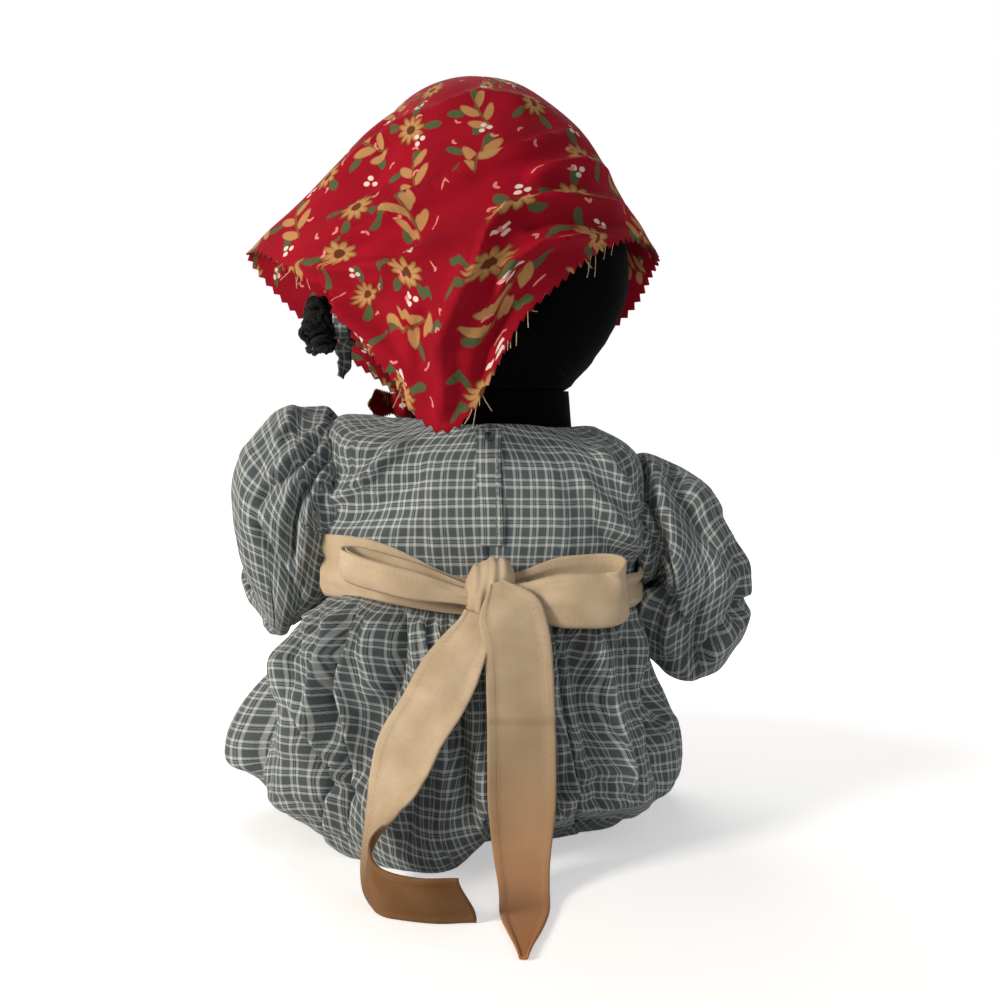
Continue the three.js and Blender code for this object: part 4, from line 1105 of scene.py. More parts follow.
class Finishes:
    """The doll's finishes, each made once."""

    def __init__(self) -> None:
        """Makes every material."""
        self.plaid = PlaidCotton().build()
        self.print = PrintCotton().build()
        self.muslin = Muslin().build()
        self.sash = Muslin("sash_muslin", SASH_WIDTH).build()
        # The tails turn tan toward their ends, partly a stain and partly painted shade. The right one is
        # also greyed by painted shade on its upper length.
        self.tail_right = Muslin("right_tail_muslin", SASH_WIDTH, stain_and_shade_length=180.0, painted_shade=0.75).build()
        self.tail_left = Muslin(
            "left_tail_muslin", SASH_WIDTH, stain_and_shade_length=100.0, tan=paint(106, 66, 24), turns=(0.8, 1.1), sheen=0.0
        ).build()
        self.velvet = BlackVelvet().build()
        black, soot = (0.0012, 0.0012, 0.0013, 1), (0.007, 0.007, 0.0075, 1)
        self.yarn = SpunThread("black_yarn", black, soot, 2.2, 0.02).build()
        self.fray = SpunThread("frayed_thread", paint(186, 156, 116), paint(232, 208, 170), 1.0).build()
        self.grey_thread = SpunThread("grey_thread", paint(96, 100, 92), paint(168, 170, 158), 1.0).build()
        self.dark_thread = SpunThread("dark_thread", paint(28, 34, 38), paint(70, 78, 82), 1.0).build()
        self.mouth = SpunThread("mouth_thread", paint(92, 34, 34), paint(152, 66, 62), 1.0).build()
        self.wood = TurnedWood().build()
        self.steel = DarkSteel().build()


class Slot(Enum):
    """The record's material slots."""

    BLACK = "black_cloth"
    PLAID = "plaid_cotton"
    MUSLIN = "muslin"
    RED = "red_cotton"
    YARN = "yarn"
    BUTTON = "button"
    THREAD = "thread"
    SNAP = "snap_metal"


class Held(Enum):
    """How a sheet of cloth is held."""

    DRAPED = "draped"
    GATHERED = "gathered"
    HUNG = "hung"
    FOLDED = "folded"
    STRETCHED = "stretched"


def dress(
    piece: bpy.types.Object,
    finish: bpy.types.Material,
    body: str | None,
    replaces: Sequence[str] = (),
    thick: float = 0.0,
) -> bpy.types.Object:
    """Gives a piece its finish, thickness and body.

    Args:
        piece: The piece.
        finish: Its material.
        body: The body that it rides on, or None where it rides on none.
        replaces: The solids that it stands for.
        thick: Thickness of the cloth, or 0 for a closed piece.

    Returns:
        The piece.
    """
    piece.data.materials.append(finish)
    if thick:
        solid = piece.modifiers.new("thickness", "SOLIDIFY")
        solid.thickness = thick * MM
        solid.offset = 0.0
        solid.use_even_offset = False
    if body:
        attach(piece, body)
    if replaces:
        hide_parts(*replaces)
    LOG.info("%s: %d points, on %s", piece.name, len(piece.data.vertices), body or "two bodies")
    return piece


def settled(
    grid: Points,
    hold: Points,
    slack: float,
    stiff: float,
    swell: float,
    most: float,
    flip: bool = False,
    frames: int = 22,
) -> Points:
    """Lets a ring of cloth settle into soft folds.

    Args:
        grid: Points (rows, columns, 3) whose columns close into a ring.
        hold: How firmly each point is held, 0 to 1.
        slack: Share by which the cloth is larger than its place.
        stiff: Resistance to bending.
        swell: Push of the filling from inside.
        most: The furthest that a point may move, in millimetres.
        flip: Whether the grid's own faces look inward.
        frames: How long it settles.
    """
    grown, slide = 10.0, 0.3
    trial = sew("cloth_trial", [Patch(grid * grown, wrap=True)], flip)
    group = trial.vertex_groups.new(name="hold")
    firm = np.round(np.broadcast_to(hold, grid.shape[:2]).ravel(), 2)
    for share in np.unique(firm):
        group.add(np.flatnonzero(firm == share).tolist(), float(share), "REPLACE")
    cloth = trial.modifiers.new("cloth", "CLOTH")
    rules = cloth.settings
    rules.quality = 6
    rules.mass = 0.3
    rules.air_damping = 4.0
    rules.tension_stiffness = rules.compression_stiffness = 25.0
    rules.shear_stiffness = 6.0
    rules.bending_stiffness = stiff
    rules.tension_damping = rules.compression_damping = 12.0
    rules.vertex_group_mass = "hold"
    rules.pin_stiffness = 1.0
    rules.shrink_min = -slack
    rules.use_pressure = swell > 0
    rules.uniform_pressure_force = swell
    rules.effector_weights.gravity = 0.15
    cloth.collision_settings.use_collision = False
    cloth.point_cache.frame_start, cloth.point_cache.frame_end = 1, frames
    scene = bpy.context.scene
    for step in range(1, frames + 1):
        scene.frame_set(step)
    shaped = trial.evaluated_get(bpy.context.evaluated_depsgraph_get())
    rest = np.zeros(grid.size, np.float32)
    shaped.data.vertices.foreach_get("co", rest)
    mesh = trial.data
    bpy.data.objects.remove(trial)
    bpy.data.meshes.remove(mesh)
    scene.frame_set(1)
    moved = rest.reshape(grid.shape) / (MM * grown) - grid
    out = normals(grid, True)
    push = (moved * out).sum(-1, keepdims=True) * out
    moved = push + slide * (moved - push)
    far = np.linalg.norm(moved, axis=-1, keepdims=True)
    return grid + moved * np.minimum(1.0, most / np.maximum(far, 1e-6))


@dataclass
class Assembly:
    """A sub-assembly of the doll.

    Attributes:
        finishes: The doll's finishes.
    """

    finishes: Finishes


# ---------------------------------------------------------------- head


@dataclass(frozen=True)
class HeadForm:
    """Shape and place of the stuffed head.

    Attributes:
        wide: Half its width.
        deep: Half its depth.
        cheek: Height of its widest level.
        top: Its height.
        opening: Radius of its sewn edge.
        level: Height of that edge.
        turn: Degrees that it looks to the doll's left.
        lean: How far its crown leans to the left.
    """

    wide: float = 59.0
    deep: float = 58.0
    cheek: float = 42.0
    top: float = 129.0
    opening: float = 31.0
    level: float = 186.4
    turn: float = 18.0
    lean: float = 7.0

    def share(self, rise: Points) -> Points:
        """Share of its greatest half width at a rise.

        Args:
            rise: Heights above the neck opening.

        Returns:
            Shares of 0 to 1.
        """
        rise = np.asarray(rise, float)
        edge = self.opening / self.wide
        fall = np.clip((self.cheek - rise) / self.cheek, 0, 1)
        climb = np.clip((rise - self.cheek) / (self.top - self.cheek), 0, 1)
        below = edge + (1 - edge) * np.sqrt(1 - fall**2.3)
        return np.where(rise <= self.cheek, below, np.sqrt(1 - climb**2.15))

    def off(self, degrees: Points, rise: Points, stand: Points) -> Points:
        """Points off the head's surface.

        Args:
            degrees: Angles from the back towards the right.
            rise: Heights over the sewn edge.
            stand: Distances from the surface.

        Returns:
            Array (..., 3) in the head's own frame.
        """
        angle = np.radians(np.asarray(degrees, float))
        x, y = np.sin(angle), -np.cos(angle)
        share = self.share(rise)
        far = np.hypot(share * self.wide * x, share * self.deep * y) + stand
        return np.stack(np.broadcast_arrays(far * x, far * y, np.asarray(rise, float)), -1)

    def leaning(self, rise: Points) -> Points:
        """How far the crown leans at a rise."""
        return self.lean * ease(rise, 62, 128)

    def place(self, points: Points) -> Points:
        """Takes points from the head's frame to the doll's.

        Args:
            points: Points (..., 3) in the head's frame.

        Returns:
            Points (..., 3) in the doll's frame.
        """
        c, s = math.cos(math.radians(self.turn)), math.sin(math.radians(self.turn))
        x, y, z = np.moveaxis(np.asarray(points, float), -1, 0)
        return np.stack([c * x - s * y - self.leaning(z), s * x + c * y, z + self.level], -1)

    def back_from(self, points: Points) -> Points:
        """Takes points from the doll's frame to the head's.

        Args:
            points: Points (..., 3) in the doll's frame.

        Returns:
            Points (..., 3) in the head's frame.
        """
        c, s = math.cos(math.radians(self.turn)), math.sin(math.radians(self.turn))
        x, y, z = np.moveaxis(np.asarray(points, float), -1, 0)
        z = z - self.level
        x = x + self.leaning(z)
        return np.stack([c * x + s * y, c * y - s * x, z], -1)

    def clear(self, points: Points, stand: float) -> Points:
        """Points moved out to a least distance from the head.

        Args:
            points: Array (..., 3) in the head's own frame.
            stand: The least distance.

        Returns:
            Array (..., 3).
        """
        x, y, z = np.moveaxis(points, -1, 0)
        flat = np.maximum(np.hypot(x, y), 1e-6)
        above = z - self.cheek
        low = np.maximum(1, (self.share(z) * self.wide + stand) / flat)
        climb = np.maximum(above, 0) / (self.top + stand - self.cheek)
        high = np.maximum(1, ((flat / (self.wide + stand)) ** 2 + climb**2.15) ** -0.5)
        out = np.where(above <= 0, low, high)
        return np.stack([x * out, y * out, np.where(above <= 0, z, self.cheek + above * out)], -1)


HEAD = HeadForm()


@dataclass
class Head(Assembly):
    """Head with its face and its two bunches of yarn.

    Attributes:
        eye_angle: Degrees of an eye either side of the nose.
        eye_rise: Height of the eyes.
        eye_radius: Radius of an eye button.
        mouth_angle: Half the mouth's width in degrees.
        mouth_rise: Height of the mouth.
        bunch_angles: Angles of the left and the right bunch.
        bunch_rise: Height of the bunches.
        curls: Strands in a bunch.
    """

    eye_angle: float = 23.0
    eye_rise: float = 53.0
    eye_radius: float = 4.6
    mouth_angle: float = 13.0
    mouth_rise: float = 27.0
    bunch_angles: tuple[float, float] = (-106.0, 136.0)
    bunch_rise: float = 30.0
    curls: int = 46

    def build(self) -> None:
        """Makes the head, the face and the bunches."""
        self.skull()
        for side, name in ((-1, "right"), (1, "left")):
            self.eye(side, name)
        self.mouth()
        for angle, name in zip(self.bunch_angles, ("left", "right")):
            self.bunch(angle, name)

    def skull(self) -> None:
        """Makes the stuffed head with its seams."""
        rows, cols = 60, 96
        rise = HEAD.top * np.sin(0.5 * math.pi * 0.992 * np.linspace(0, 1, rows) ** 1.15)
        turn = np.linspace(0, 360, cols, endpoint=False)
        # Below, it is drawn in to the neck, and more so at the right jaw.
        slim = np.interp(rise, [0, 1, 3, 6, 12.6, 20, 42], [1.6, -2.4, -4.8, -4.6, -2.4, -1.0, 0])
        jaw = np.interp(rise, [0, 6, 15, 23, 32, 40, 50], [0.5, 3.5, 6.2, 5.0, 2.6, 0.8, 0])
        grid = HEAD.off(turn[None], rise[:, None], slim[:, None] - 0.1)
        seam = hump((turn + 90) % 180 - 90, 0.0, 3.0)
        pucker = 1 + 0.35 * np.sin(rise / 2.3)
        lump = ripple(grid, 45.0, 3) * 0.5
        inward = seam[None] * pucker[:, None] * 0.9 + 0.1 - 0.6 * lump
        inward = inward + jaw[:, None] * hump(turn, 72, 46)[None]
        crown = np.where(rise < HEAD.top - 6, 1.0, 0.2)
        grid = grid - outward(grid) * crown[:, None, None] * inward[..., None]
        piece = sew("head", [shut(HEAD.place(grid))])
        dress(piece, self.finishes.velvet, "head", ["head_skin", "head_filling"])

    def frame_at(self, degrees: float, rise: float) -> tuple[Points, Points, Points, Points]:
        """A place on the head's surface.

        Args:
            degrees: Angle round the head.
            rise: Height above the neck opening.

        Returns:
            The point, and the normal, sideways and upward directions there.
        """
        at = HEAD.off(degrees, rise, 0.0)
        up = unit(HEAD.off(degrees, rise + 5, 0.0) - HEAD.off(degrees, rise - 5, 0.0))
        side = unit(HEAD.off(degrees + 4, rise, 0.0) - HEAD.off(degrees - 4, rise, 0.0))
        return at, unit(np.cross(side, up)), side, up

    def eye(self, side: int, name: str) -> None:
        """Makes one sewn button with a dished face, four holes and a crossed thread.

        Args:
            side: -1 or 1, the side of the nose.
            name: Name of the side.
        """
        at, out, across, up = self.frame_at(180 + side * self.eye_angle, self.eye_rise)
        at = at - out * 0.55
        profile = [
            (0.9, 0.1), (1.0, 0.45), (1.0, 1.2), (0.93, 1.85), (0.82, 2.15),
            (0.7, 1.95), (0.6, 1.55), (0.3, 1.4), (0.06, 1.38),
        ]
        ring = around(across, up, angles(40))
        rings = [at + out * (0.15 + z) + ring * r * self.eye_radius for r, z in profile]
        button = sew(f"eye_{name}", [shut(HEAD.place(np.array(rings)))])
        dress(button, self.finishes.wood, "head", [f"eye_button_{name}"])
        t = np.linspace(-1, 1, 13)
        bow = out * (1.3 + (1 - t**4))[:, None]
        threads = []
        for lean in (math.radians(45), math.radians(135)):
            line = across * math.cos(lean) + up * math.sin(lean)
            threads.append(strand(HEAD.place(at + line * (t * 1.35)[:, None] + bow), 0.36))
        deep = out * np.linspace(1.2, 1.62, 3)[:, None]
        for x, y in ((-1, -1), (-1, 1), (1, -1), (1, 1)):
            threads.append(strand(HEAD.place(at + (across * x + up * y) + deep), 0.55, 10))
        dress(sew(f"eye_thread_{name}", threads), self.finishes.dark_thread, "head")

    def mouth(self) -> None:
        """Makes the mouth as a row of back stitches."""
        count = 9
        stitches = []
        for n in range(count):
            t = np.linspace(-1 + 2 * n / count + 0.02, -1 + 2 * (n + 1) / count - 0.02, 9)
            bow = np.sin(np.linspace(0, math.pi, 9))
            path = HEAD.off(180 + t * self.mouth_angle, self.mouth_rise + 2.4 * t * t, 0.1 + 0.8 * bow)
            stitches.append(strand(HEAD.place(path), 0.45 + 0.35 * bow))
        piece = sew("mouth", stitches)
        dress(piece, self.finishes.mouth, "head", ["mouth_stitch"])

    def bunch(self, angle: float, name: str) -> None:
        """Makes one bunch of curled yarn and the torn strip that ties it.

        Args:
            angle: Degrees from the back of the head.
            name: Name of the side.
        """
        rng = np.random.default_rng(17 if name == "left" else 29)
        root = HEAD.off(angle, self.bunch_rise, 0.4)
        out = np.array([math.sin(math.radians(angle)), -math.cos(math.radians(angle)), 0.0])
        side = np.array([-out[1], out[0], 0.0])
        down = -UP
        strands = []
        for _ in range(self.curls):
            lean, fall = rng.uniform(-1, 1), rng.uniform(0.0, 1.0)
            stop = root + out * rng.uniform(9, 19) + side * lean * 13 + down * (fall * 22 - 7)
            start = root + side * rng.uniform(-4, 4) + down * rng.uniform(-4, 4)
            mid = root + out * 9 + side * lean * 4 + down * (fall * 5 - 2)
            t = np.linspace(0, 1, 56)
            late = 0.5 * (mid + stop) + out * 3 - down * 2
            core = catmull(np.array([start, mid, late, stop]), t)
            _, a, b = carry(core)
            coil = (t * rng.uniform(4.0, 6.0) + rng.uniform()) * TAU
            swell = rng.uniform(1.9, 3.4) * ease(t, 0.12, 0.4)
            path = core + around(a, b, coil) * swell[:, None]
            strands.append(strand(HEAD.place(HEAD.clear(path, 0.8)), 1.4))
        yarn = sew(f"yarn_bunch_{name}", strands)
        dress(yarn, self.finishes.yarn, "head", [f"pigtail_{name}"])
        tie = sew(f"yarn_tie_{name}", self.torn_strip(root, out, side, down))
        dress(tie, self.finishes.plaid, "head", [f"pigtail_tie_{name}"], thick=0.5)
        wisps = []
        for n in range(9):
            t = np.linspace(0, 1, 12)
            lean, fall = rng.uniform(-1, 1), rng.uniform(-0.2, 1.0)
            sink = fall * 14 * t - 7 * t * (1 - t)
            sway = lean * 9 * t + 1.2 * np.sin(7 * t + n)
            path = root + out * (3 + 14 * t)[:, None] + side * sway[:, None] + down * sink[:, None]
            wisps.append(strand(HEAD.place(HEAD.clear(path, 8.5)), 0.22, 4))
        dress(sew(f"yarn_wisps_{name}", wisps), self.finishes.grey_thread, "head")

    def torn_strip(self, root: Points, out: Points, side: Points, down: Points) -> list[Patch]:
        """The strip that ties a bunch: one turn round it and two torn ends.

        Args:
            root: Where the bunch leaves the head.
            out: Direction away from the head.
            side: Direction along the head.
            down: Direction to the floor.

        Returns:
            Its patches.
        """
        turn = np.linspace(0, TAU, 40)
        rows = np.linspace(0, 6.6, 7)
        lap = 7.6 + 0.35 * np.sin(5 * turn) + 0.5 * turn / TAU
        band = root + out * (1.6 + rows[:, None, None]) + around(side, down, turn) * lap[:, None]
        patches = [Patch(HEAD.place(band))]
        t = np.linspace(0, 1, 26)
        for share, swing in ((0.9, -0.35), (1.0, 0.3)):
            bends = [
                (2.0, 0, 7.9), (4.4, swing * 4, 12.0), (3.6, swing * 7, 18.0), (5.4, swing * 12, 24.5),
            ]
            curve = catmull(np.array(bends) * share, t)
            path = root + out * curve[:, :1] + side * curve[:, 1:2] + down * curve[:, 2:]
            across = unit(around(out[None], side[None], 1.1 * t * swing * 3))
            torn = 3.2 + 0.5 * np.sin(19 * t + swing) - 1.1 * ease(t, 0.8, 1.0)
            end = ribbon(path, across, torn, 9, 0.5 * np.sin(7 * t), 0.0)
            patches.append(Patch(HEAD.place(end)))
        return patches


@dataclass
class Kerchief(Assembly):
    """Printed triangle drawn over the head and tied under the chin.

    Attributes:
        stand: Least distance over the head.
        flare: Reach of the left fold past the head.
        chin: Stand of the tips under the chin.
        tooth: Width of a pinked tooth.
        thick: Thickness of the cotton.
    """

    stand: float = 2.0
    flare: float = 50.0
    chin: float = 20.0
    tooth: float = 4.8
    thick: float = 0.7

    def rails(self) -> Points:
        """Four rails from the front edge to the back edge.

        Returns:
            Points (4, 10, 3).
        """
        s, f, c = self.stand, self.flare, self.chin
        tip = -20.0 / HEAD.top
        front = [
            (-152, 0, c), (-128, 0.28, s + 1), (-128, 0.56, s), (-150, 0.73, s), (-172, 0.79, s),
            (180, 0.79, s), (164, 0.775, s), (134, 0.65, s), (118, 0.217, s + 1), (203, 0, c),
        ]
        crown = [
            (-151, -0.008, c + 1), (-126, 0.3, f / 3), (-108, 0.62, s + 6), (-88, 0.87, s + 2),
            (-40, 1.0, 2.6 * s), (0, 1.012, 2.6 * s), (45, 1.0, s), (88, 0.8, s),
            (119, 0.25, s + 2), (201, -0.008, c + 1),
        ]
        nape = [
            (-150, -0.016, c + 2), (-129, 0.29, f * 0.6), (-115, 0.53, f * 0.78), (-85, 0.57, s + 13),
            (-34, 0.46, s + 4), (0, 0.574, s + 2), (42, 0.62, s), (88, 0.51, s + 4),
            (118, 0.2, s + 2), (201, -0.016, c + 2),
        ]
        back = [
            (-150, -0.023, c + 3), (-131, 0.25, f * 0.66), (-118, 0.475, f), (-84, 0.32, s + 14),
            (-34, tip + 0.03, 35.0), (-4, 0.233, s + 5), (40, 0.465, s + 2), (89, 0.42, s + 15),
            (117, 0.163, s + 2), (201, -0.023, c + 3),
        ]
        rows = []
        for rail in (front, crown, nape, back):
            angle, share, out = np.array(rail, float).T
            rows.append(HEAD.off(angle, share * HEAD.top, out))
        return np.array(rows)

    def creases(self) -> list[Crease]:
        """The folds of its back.

        Returns:
            The folds, drawn in the photograph's view.
        """
        return [
            Crease([(243, 254), (303, 196), (368, 150), (433, 108)], 6.5, 5.4),
            Crease([(262, 258), (330, 206), (400, 160), (470, 118)], -4.3, 9),
            Crease([(300, 270), (372, 230), (425, 196), (478, 164), (580, 128)], 6.2, 5.4, -2.4),
            Crease([(372, 262), (450, 208), (545, 160)], -4.6, 9),
            Crease([(386, 226), (439, 177)], 3.7, 3.6),
            Crease([(452, 330), (476, 270), (488, 235), (506, 212), (546, 204), (640, 207)], 7.8, 4.5, 1.5),
            Crease([(520, 228), (560, 218), (640, 222)], -4.3, 6),
            Crease([(441, 425), (446, 380), (441, 345), (458, 290), (470, 255)], 7.8, 7.2),
            Crease([(496, 300), (511, 265), (539, 247), (616, 236)], 6.2, 4.5, 1.5),
            Crease([(478, 395), (486, 350), (520, 290)], -4.8, 8),
            Crease([(404, 402), (384, 340), (352, 290)], -4.1, 12),
            Crease([(330, 300), (372, 338), (420, 396)], 4.0, 5.4),
            Crease([(280, 262), (340, 270), (400, 262), (452, 240)], 4.7, 5.4),
            Crease([(300, 284), (350, 294), (420, 286)], -3.6, 8),
            Crease([(418, 380), (414, 340), (428, 300)], -3.6, 6),
            Crease([(420, 120), (480, 96), (540, 104), (592, 150)], 4.0, 5.4),
            Crease([(430, 134), (500, 112), (560, 126)], -2.9, 8),
            Crease([(520, 176), (580, 166), (622, 176)], 4.7, 5.4),
            Crease([(540, 190), (590, 184), (630, 192)], -2.9, 6),
        ]

    def grid(self) -> tuple[Points, Points]:
        """Draped cloth.

        Returns:
            Points (rows, columns, 3) in the doll's frame, front edge first, and places on the flat
            cloth.
        """
        rails = np.moveaxis(self.rails(), 1, 0)
        fine = catmull(rails, np.linspace(0, 1, 2000))
        run = np.concatenate([[0], np.cumsum(np.linalg.norm(np.diff(fine[:, 3], axis=0), axis=-1))])
        columns = 2 * int(run[-1] / self.tooth) + 1
        spots = np.interp(np.linspace(0, run[-1], columns), run, np.linspace(0, 1, 2000))
        rows, half = 121, 60
        across = catmull(np.moveaxis(catmull(rails, spots), 1, 0), np.linspace(0, 1, rows))
        grid = HEAD.clear(across, self.stand)
        share = np.linspace(0, 1, rows)[:, None]
        x, y, _ = np.moveaxis(grid, -1, 0)
        flat = outward(grid) * ease(np.hypot(x, y), 3, 20)[..., None]
        wave = share**2 * np.sin(math.pi * spots)[None] * (1 + np.sin(46 * spots)[None])
        grid = grid + flat * wave[..., None] + flat * (ripple(grid, 34.0, 5) * 0.7)[..., None]
        placed = HEAD.place(grid)
        away = unit(placed - HEAD.place(UP * HEAD.cheek))
        placed = folded(placed, self.creases(), False, away)
        grid = HEAD.clear(HEAD.back_from(placed), 1.2)
        along = lengths(grid, 0)
        side = lengths(grid, 1)[half][None].repeat(rows, 0)
        cut = np.stack([side, along - along[half][None]], -1)
        for row, near in ((-1, -2), (0, 1)):
            out = unit(grid[row] - grid[near])
            bite = np.where(np.arange(columns) % 2, 1.9, -0.5)
            grid[row] = grid[row] + out * bite[:, None]
        return HEAD.place(grid), cut

    def build(self) -> None:
        """Makes the kerchief, its frayed threads and its knot."""
        grid, cut = self.grid()
        piece = sew("kerchief_cloth", [Patch(grid, cut)])
        dress(piece, self.finishes.print, "head", ["kerchief"], thick=self.thick)
        tied = [self.threads(grid[-1], unit(grid[-1] - grid[-4])), self.knot()]

    def threads(self, edge: Points, out: Points) -> bpy.types.Object:
        """Makes the frayed threads along the back edge.

        Args:
            edge: Points (n, 3) of the edge.
            out: Directions (n, 3) away from the cloth.

        Returns:
            The piece.
        """
        rng = np.random.default_rng(41)
        seen = SIGHT.seen(edge)
        spots = [(410, 392), (466, 396), (505, 322), (594, 240), (300, 286)]
        strands = []
        for spot in spots:
            near = np.argsort(np.linalg.norm(seen - np.array(spot), axis=-1))[:9]
            for index in near[rng.permutation(len(near))[:6]]:
                t = np.linspace(0, 1, 9)
                reach = rng.uniform(2.6, 6.0)
                sway = rng.normal(size=3) * 2.2
                path = edge[index] + out[index] * ((reach * t) - 1.5)[:, None] + sway * (t**2)[:, None]
                path[:, 2] -= 1.5 * t**2
                strands.append(strand(path, 0.17, 4))
        piece = sew("kerchief_threads", strands)
        dress(piece, self.finishes.fray, "head")
        return piece

    def knot(self) -> bpy.types.Object:
        """Makes the tied knot and its two short ends.

        Returns:
            The piece.
        """
        degrees, radius = -156.0, 7.5
        middle = HEAD.off(degrees, 2.5 - radius, self.chin + radius + 1.2)
        angle = math.radians(degrees)
        out = np.array([math.sin(angle), -math.cos(angle), 0.0])
        side = np.array([-out[1], out[0], 0.0])
        turn = angles(48)[None]
        tilt = np.linspace(-0.5 * math.pi * 0.97, 0.5 * math.pi * 0.97, 26)[:, None]
        wrap = 1 + 0.07 * np.sin(3 * turn + 4 * tilt) + 0.05 * np.sin(9 * turn - 6 * tilt)
        r = radius * np.cos(tilt) * wrap
        ball = (
            middle
            + side * (r * np.cos(turn))[..., None] * 0.95
            + out * (r * np.sin(turn))[..., None] * 0.9
            + UP * (radius * np.sin(tilt) * np.ones_like(turn))[..., None]
        )
        patches = [shut(HEAD.place(ball))]
        t = np.linspace(0, 1, 30)
        half = (2.5 + 4.4 * np.sqrt(t)) * (1 - 0.72 * ease(t, 0.72, 1.0))
        teeth = np.where(np.arange(30) % 2, 0.8, -0.4)[:, None]
        stand = out * (2.5 * (1 - t) + 1.5 * np.sin(4 * t))[:, None] - UP * (0.6 * t**2)[:, None]
        for hand in (1, -1):
            path = middle + side * hand * (2 + 19 * t)[:, None] + stand
            grid = ribbon(path, np.repeat(UP[None], 30, 0), half, 13, 1.2 * np.sin(5 * t), 0.0)
            for column in (0, -1):
                grid[:, column] += unit(grid[:, column] - grid[:, 6]) * teeth
            patches.append(Patch(HEAD.place(grid)))
        piece = sew("kerchief_tied_knot", patches)
        dress(piece, self.finishes.print, "head", ["kerchief_knot"], thick=0.5)
        return piece


# ---------------------------------------------------------------- body and legs


def level_rings(profile: Points, turn: Points, t: Points) -> Points:
    """Level superellipse rings between stations.

    Args:
        profile: Stations (n, 4) of height, half width, half depth and squareness.
        turn: Angles of the points.
        t: Places between the stations, 0 to 1.

    Returns:
        Grid (len(t), len(turn), 3).
    """
    z, wide, deep, power = catmull(profile, t).T
    c, s = np.cos(turn), np.sin(turn)
    share = 2 / power[:, None]
    x = wide[:, None] * np.sign(c) * np.abs(c) ** share
    y = deep[:, None] * np.sign(s) * np.abs(s) ** share
    return np.stack([x, y, np.broadcast_to(z[:, None], x.shape)], -1)


@dataclass
class Body(Assembly):
    """Stuffed torso with its neck, and the two stuffed legs.

    Attributes:
        spacing: Half the distance between the hips.
        splay: Degrees that a leg opens.
    """

    spacing: float = 31.0
    splay: float = 6.0

    def build(self) -> None:
        """Makes the torso and the legs."""
        top, bottom, seam = 186.0, 1.6, 0.6
        profile = np.array([
            (top, 34, 34, 2), (166, 36, 36, 2), (159, 40, 36, 2), (152, 52, 38, 2.8),
            (135, 54, 42, 2.8), (97, 54, 43, 2.8), (32, 56, 45, 2.8), (10.7, 50, 39, 2.8),
            (bottom, 38, 29, 2.8),
        ])
        profile[:, 1:3] -= seam
        rings = level_rings(profile, angles(72), np.linspace(0, 1, 60))
        rings[..., 2] = np.clip(rings[..., 2], bottom, top)
        torso = sew("torso", [shut(rings[::-1])])
        dress(torso, self.finishes.velvet, "doll_body", ["torso_skin", "torso_filling"])
        for side, name in ((1, "right"), (-1, "left")):
            self.leg(side, name)

    def leg(self, side: int, name: str) -> None:
        """Makes one leg with its upright foot.

        Args:
            side: 1 for the right and -1 for the left.
            name: Name of the side.
        """
        lean = math.radians(self.splay)
        ahead = np.array([side * math.sin(lean), math.cos(lean), 0.0])
        start = np.array([side * self.spacing, 44.0, 22.2])
        stations = [
            (-5.7, 22.2, 1.9, 17.0, 0), (-4.3, 22.2, 4.3, 18.0, 0), (0.0, 22.2, 6.0, 19.0, 0),
            (15.0, 22.2, 21.0, 15.8, 0), (36.0, 22.2, 22.0, 22.0, 0), (82.5, 18.2, 18.0, 18.0, 0),
            (112.5, 18.2, 18.0, 18.0, 0), (139.5, 14.2, 13.0, 13.0, 18), (156.0, 13.7, 13.5, 15.5, 52),
            (163.5, 24.8, 13.5, 13.5, 86), (166.5, 35.0, 12.5, 11.5, 92), (166.5, 40.0, 6.5, 5.5, 92),
        ]
        way, z, wide, high, tilt = catmull(np.array(stations), np.linspace(0, 1, 90)).T
        turn, tilt = angles(48), np.radians(tilt)[:, None]
        sideways = np.array([ahead[1], -ahead[0], 0.0])
        up = UP * np.cos(tilt) - ahead * np.sin(tilt)
        middle = start + ahead * way[:, None]
        middle[:, 2] = z
        grid = (
            middle[:, None]
            + sideways * ((wide - COVER)[:, None] * np.cos(turn))[..., None]
            + up[:, None] * ((high - COVER)[:, None] * np.sin(turn))[..., None]
        )
        seam = hump((turn + TAU / 4) % math.pi - math.pi / 2, 0.0, 0.12)[None]
        seam = seam * (0.6 + 0.3 * np.sin(way / 1.7))[:, None]
        stand = ripple(grid, 30.0, 11 + side) * 0.35 - 0.4 - seam * 0.7
        grid = grid + normals(grid, True) * stand[..., None]
        grid[..., 2] = np.maximum(grid[..., 2], 0.4)
        piece = sew(f"leg_{name}", [shut(grid)])
        nodes = [f"leg_skin_{name}", f"leg_filling_{name}"]
        dress(piece, self.finishes.velvet, f"leg_{name}", nodes)


# ---------------------------------------------------------------- dress


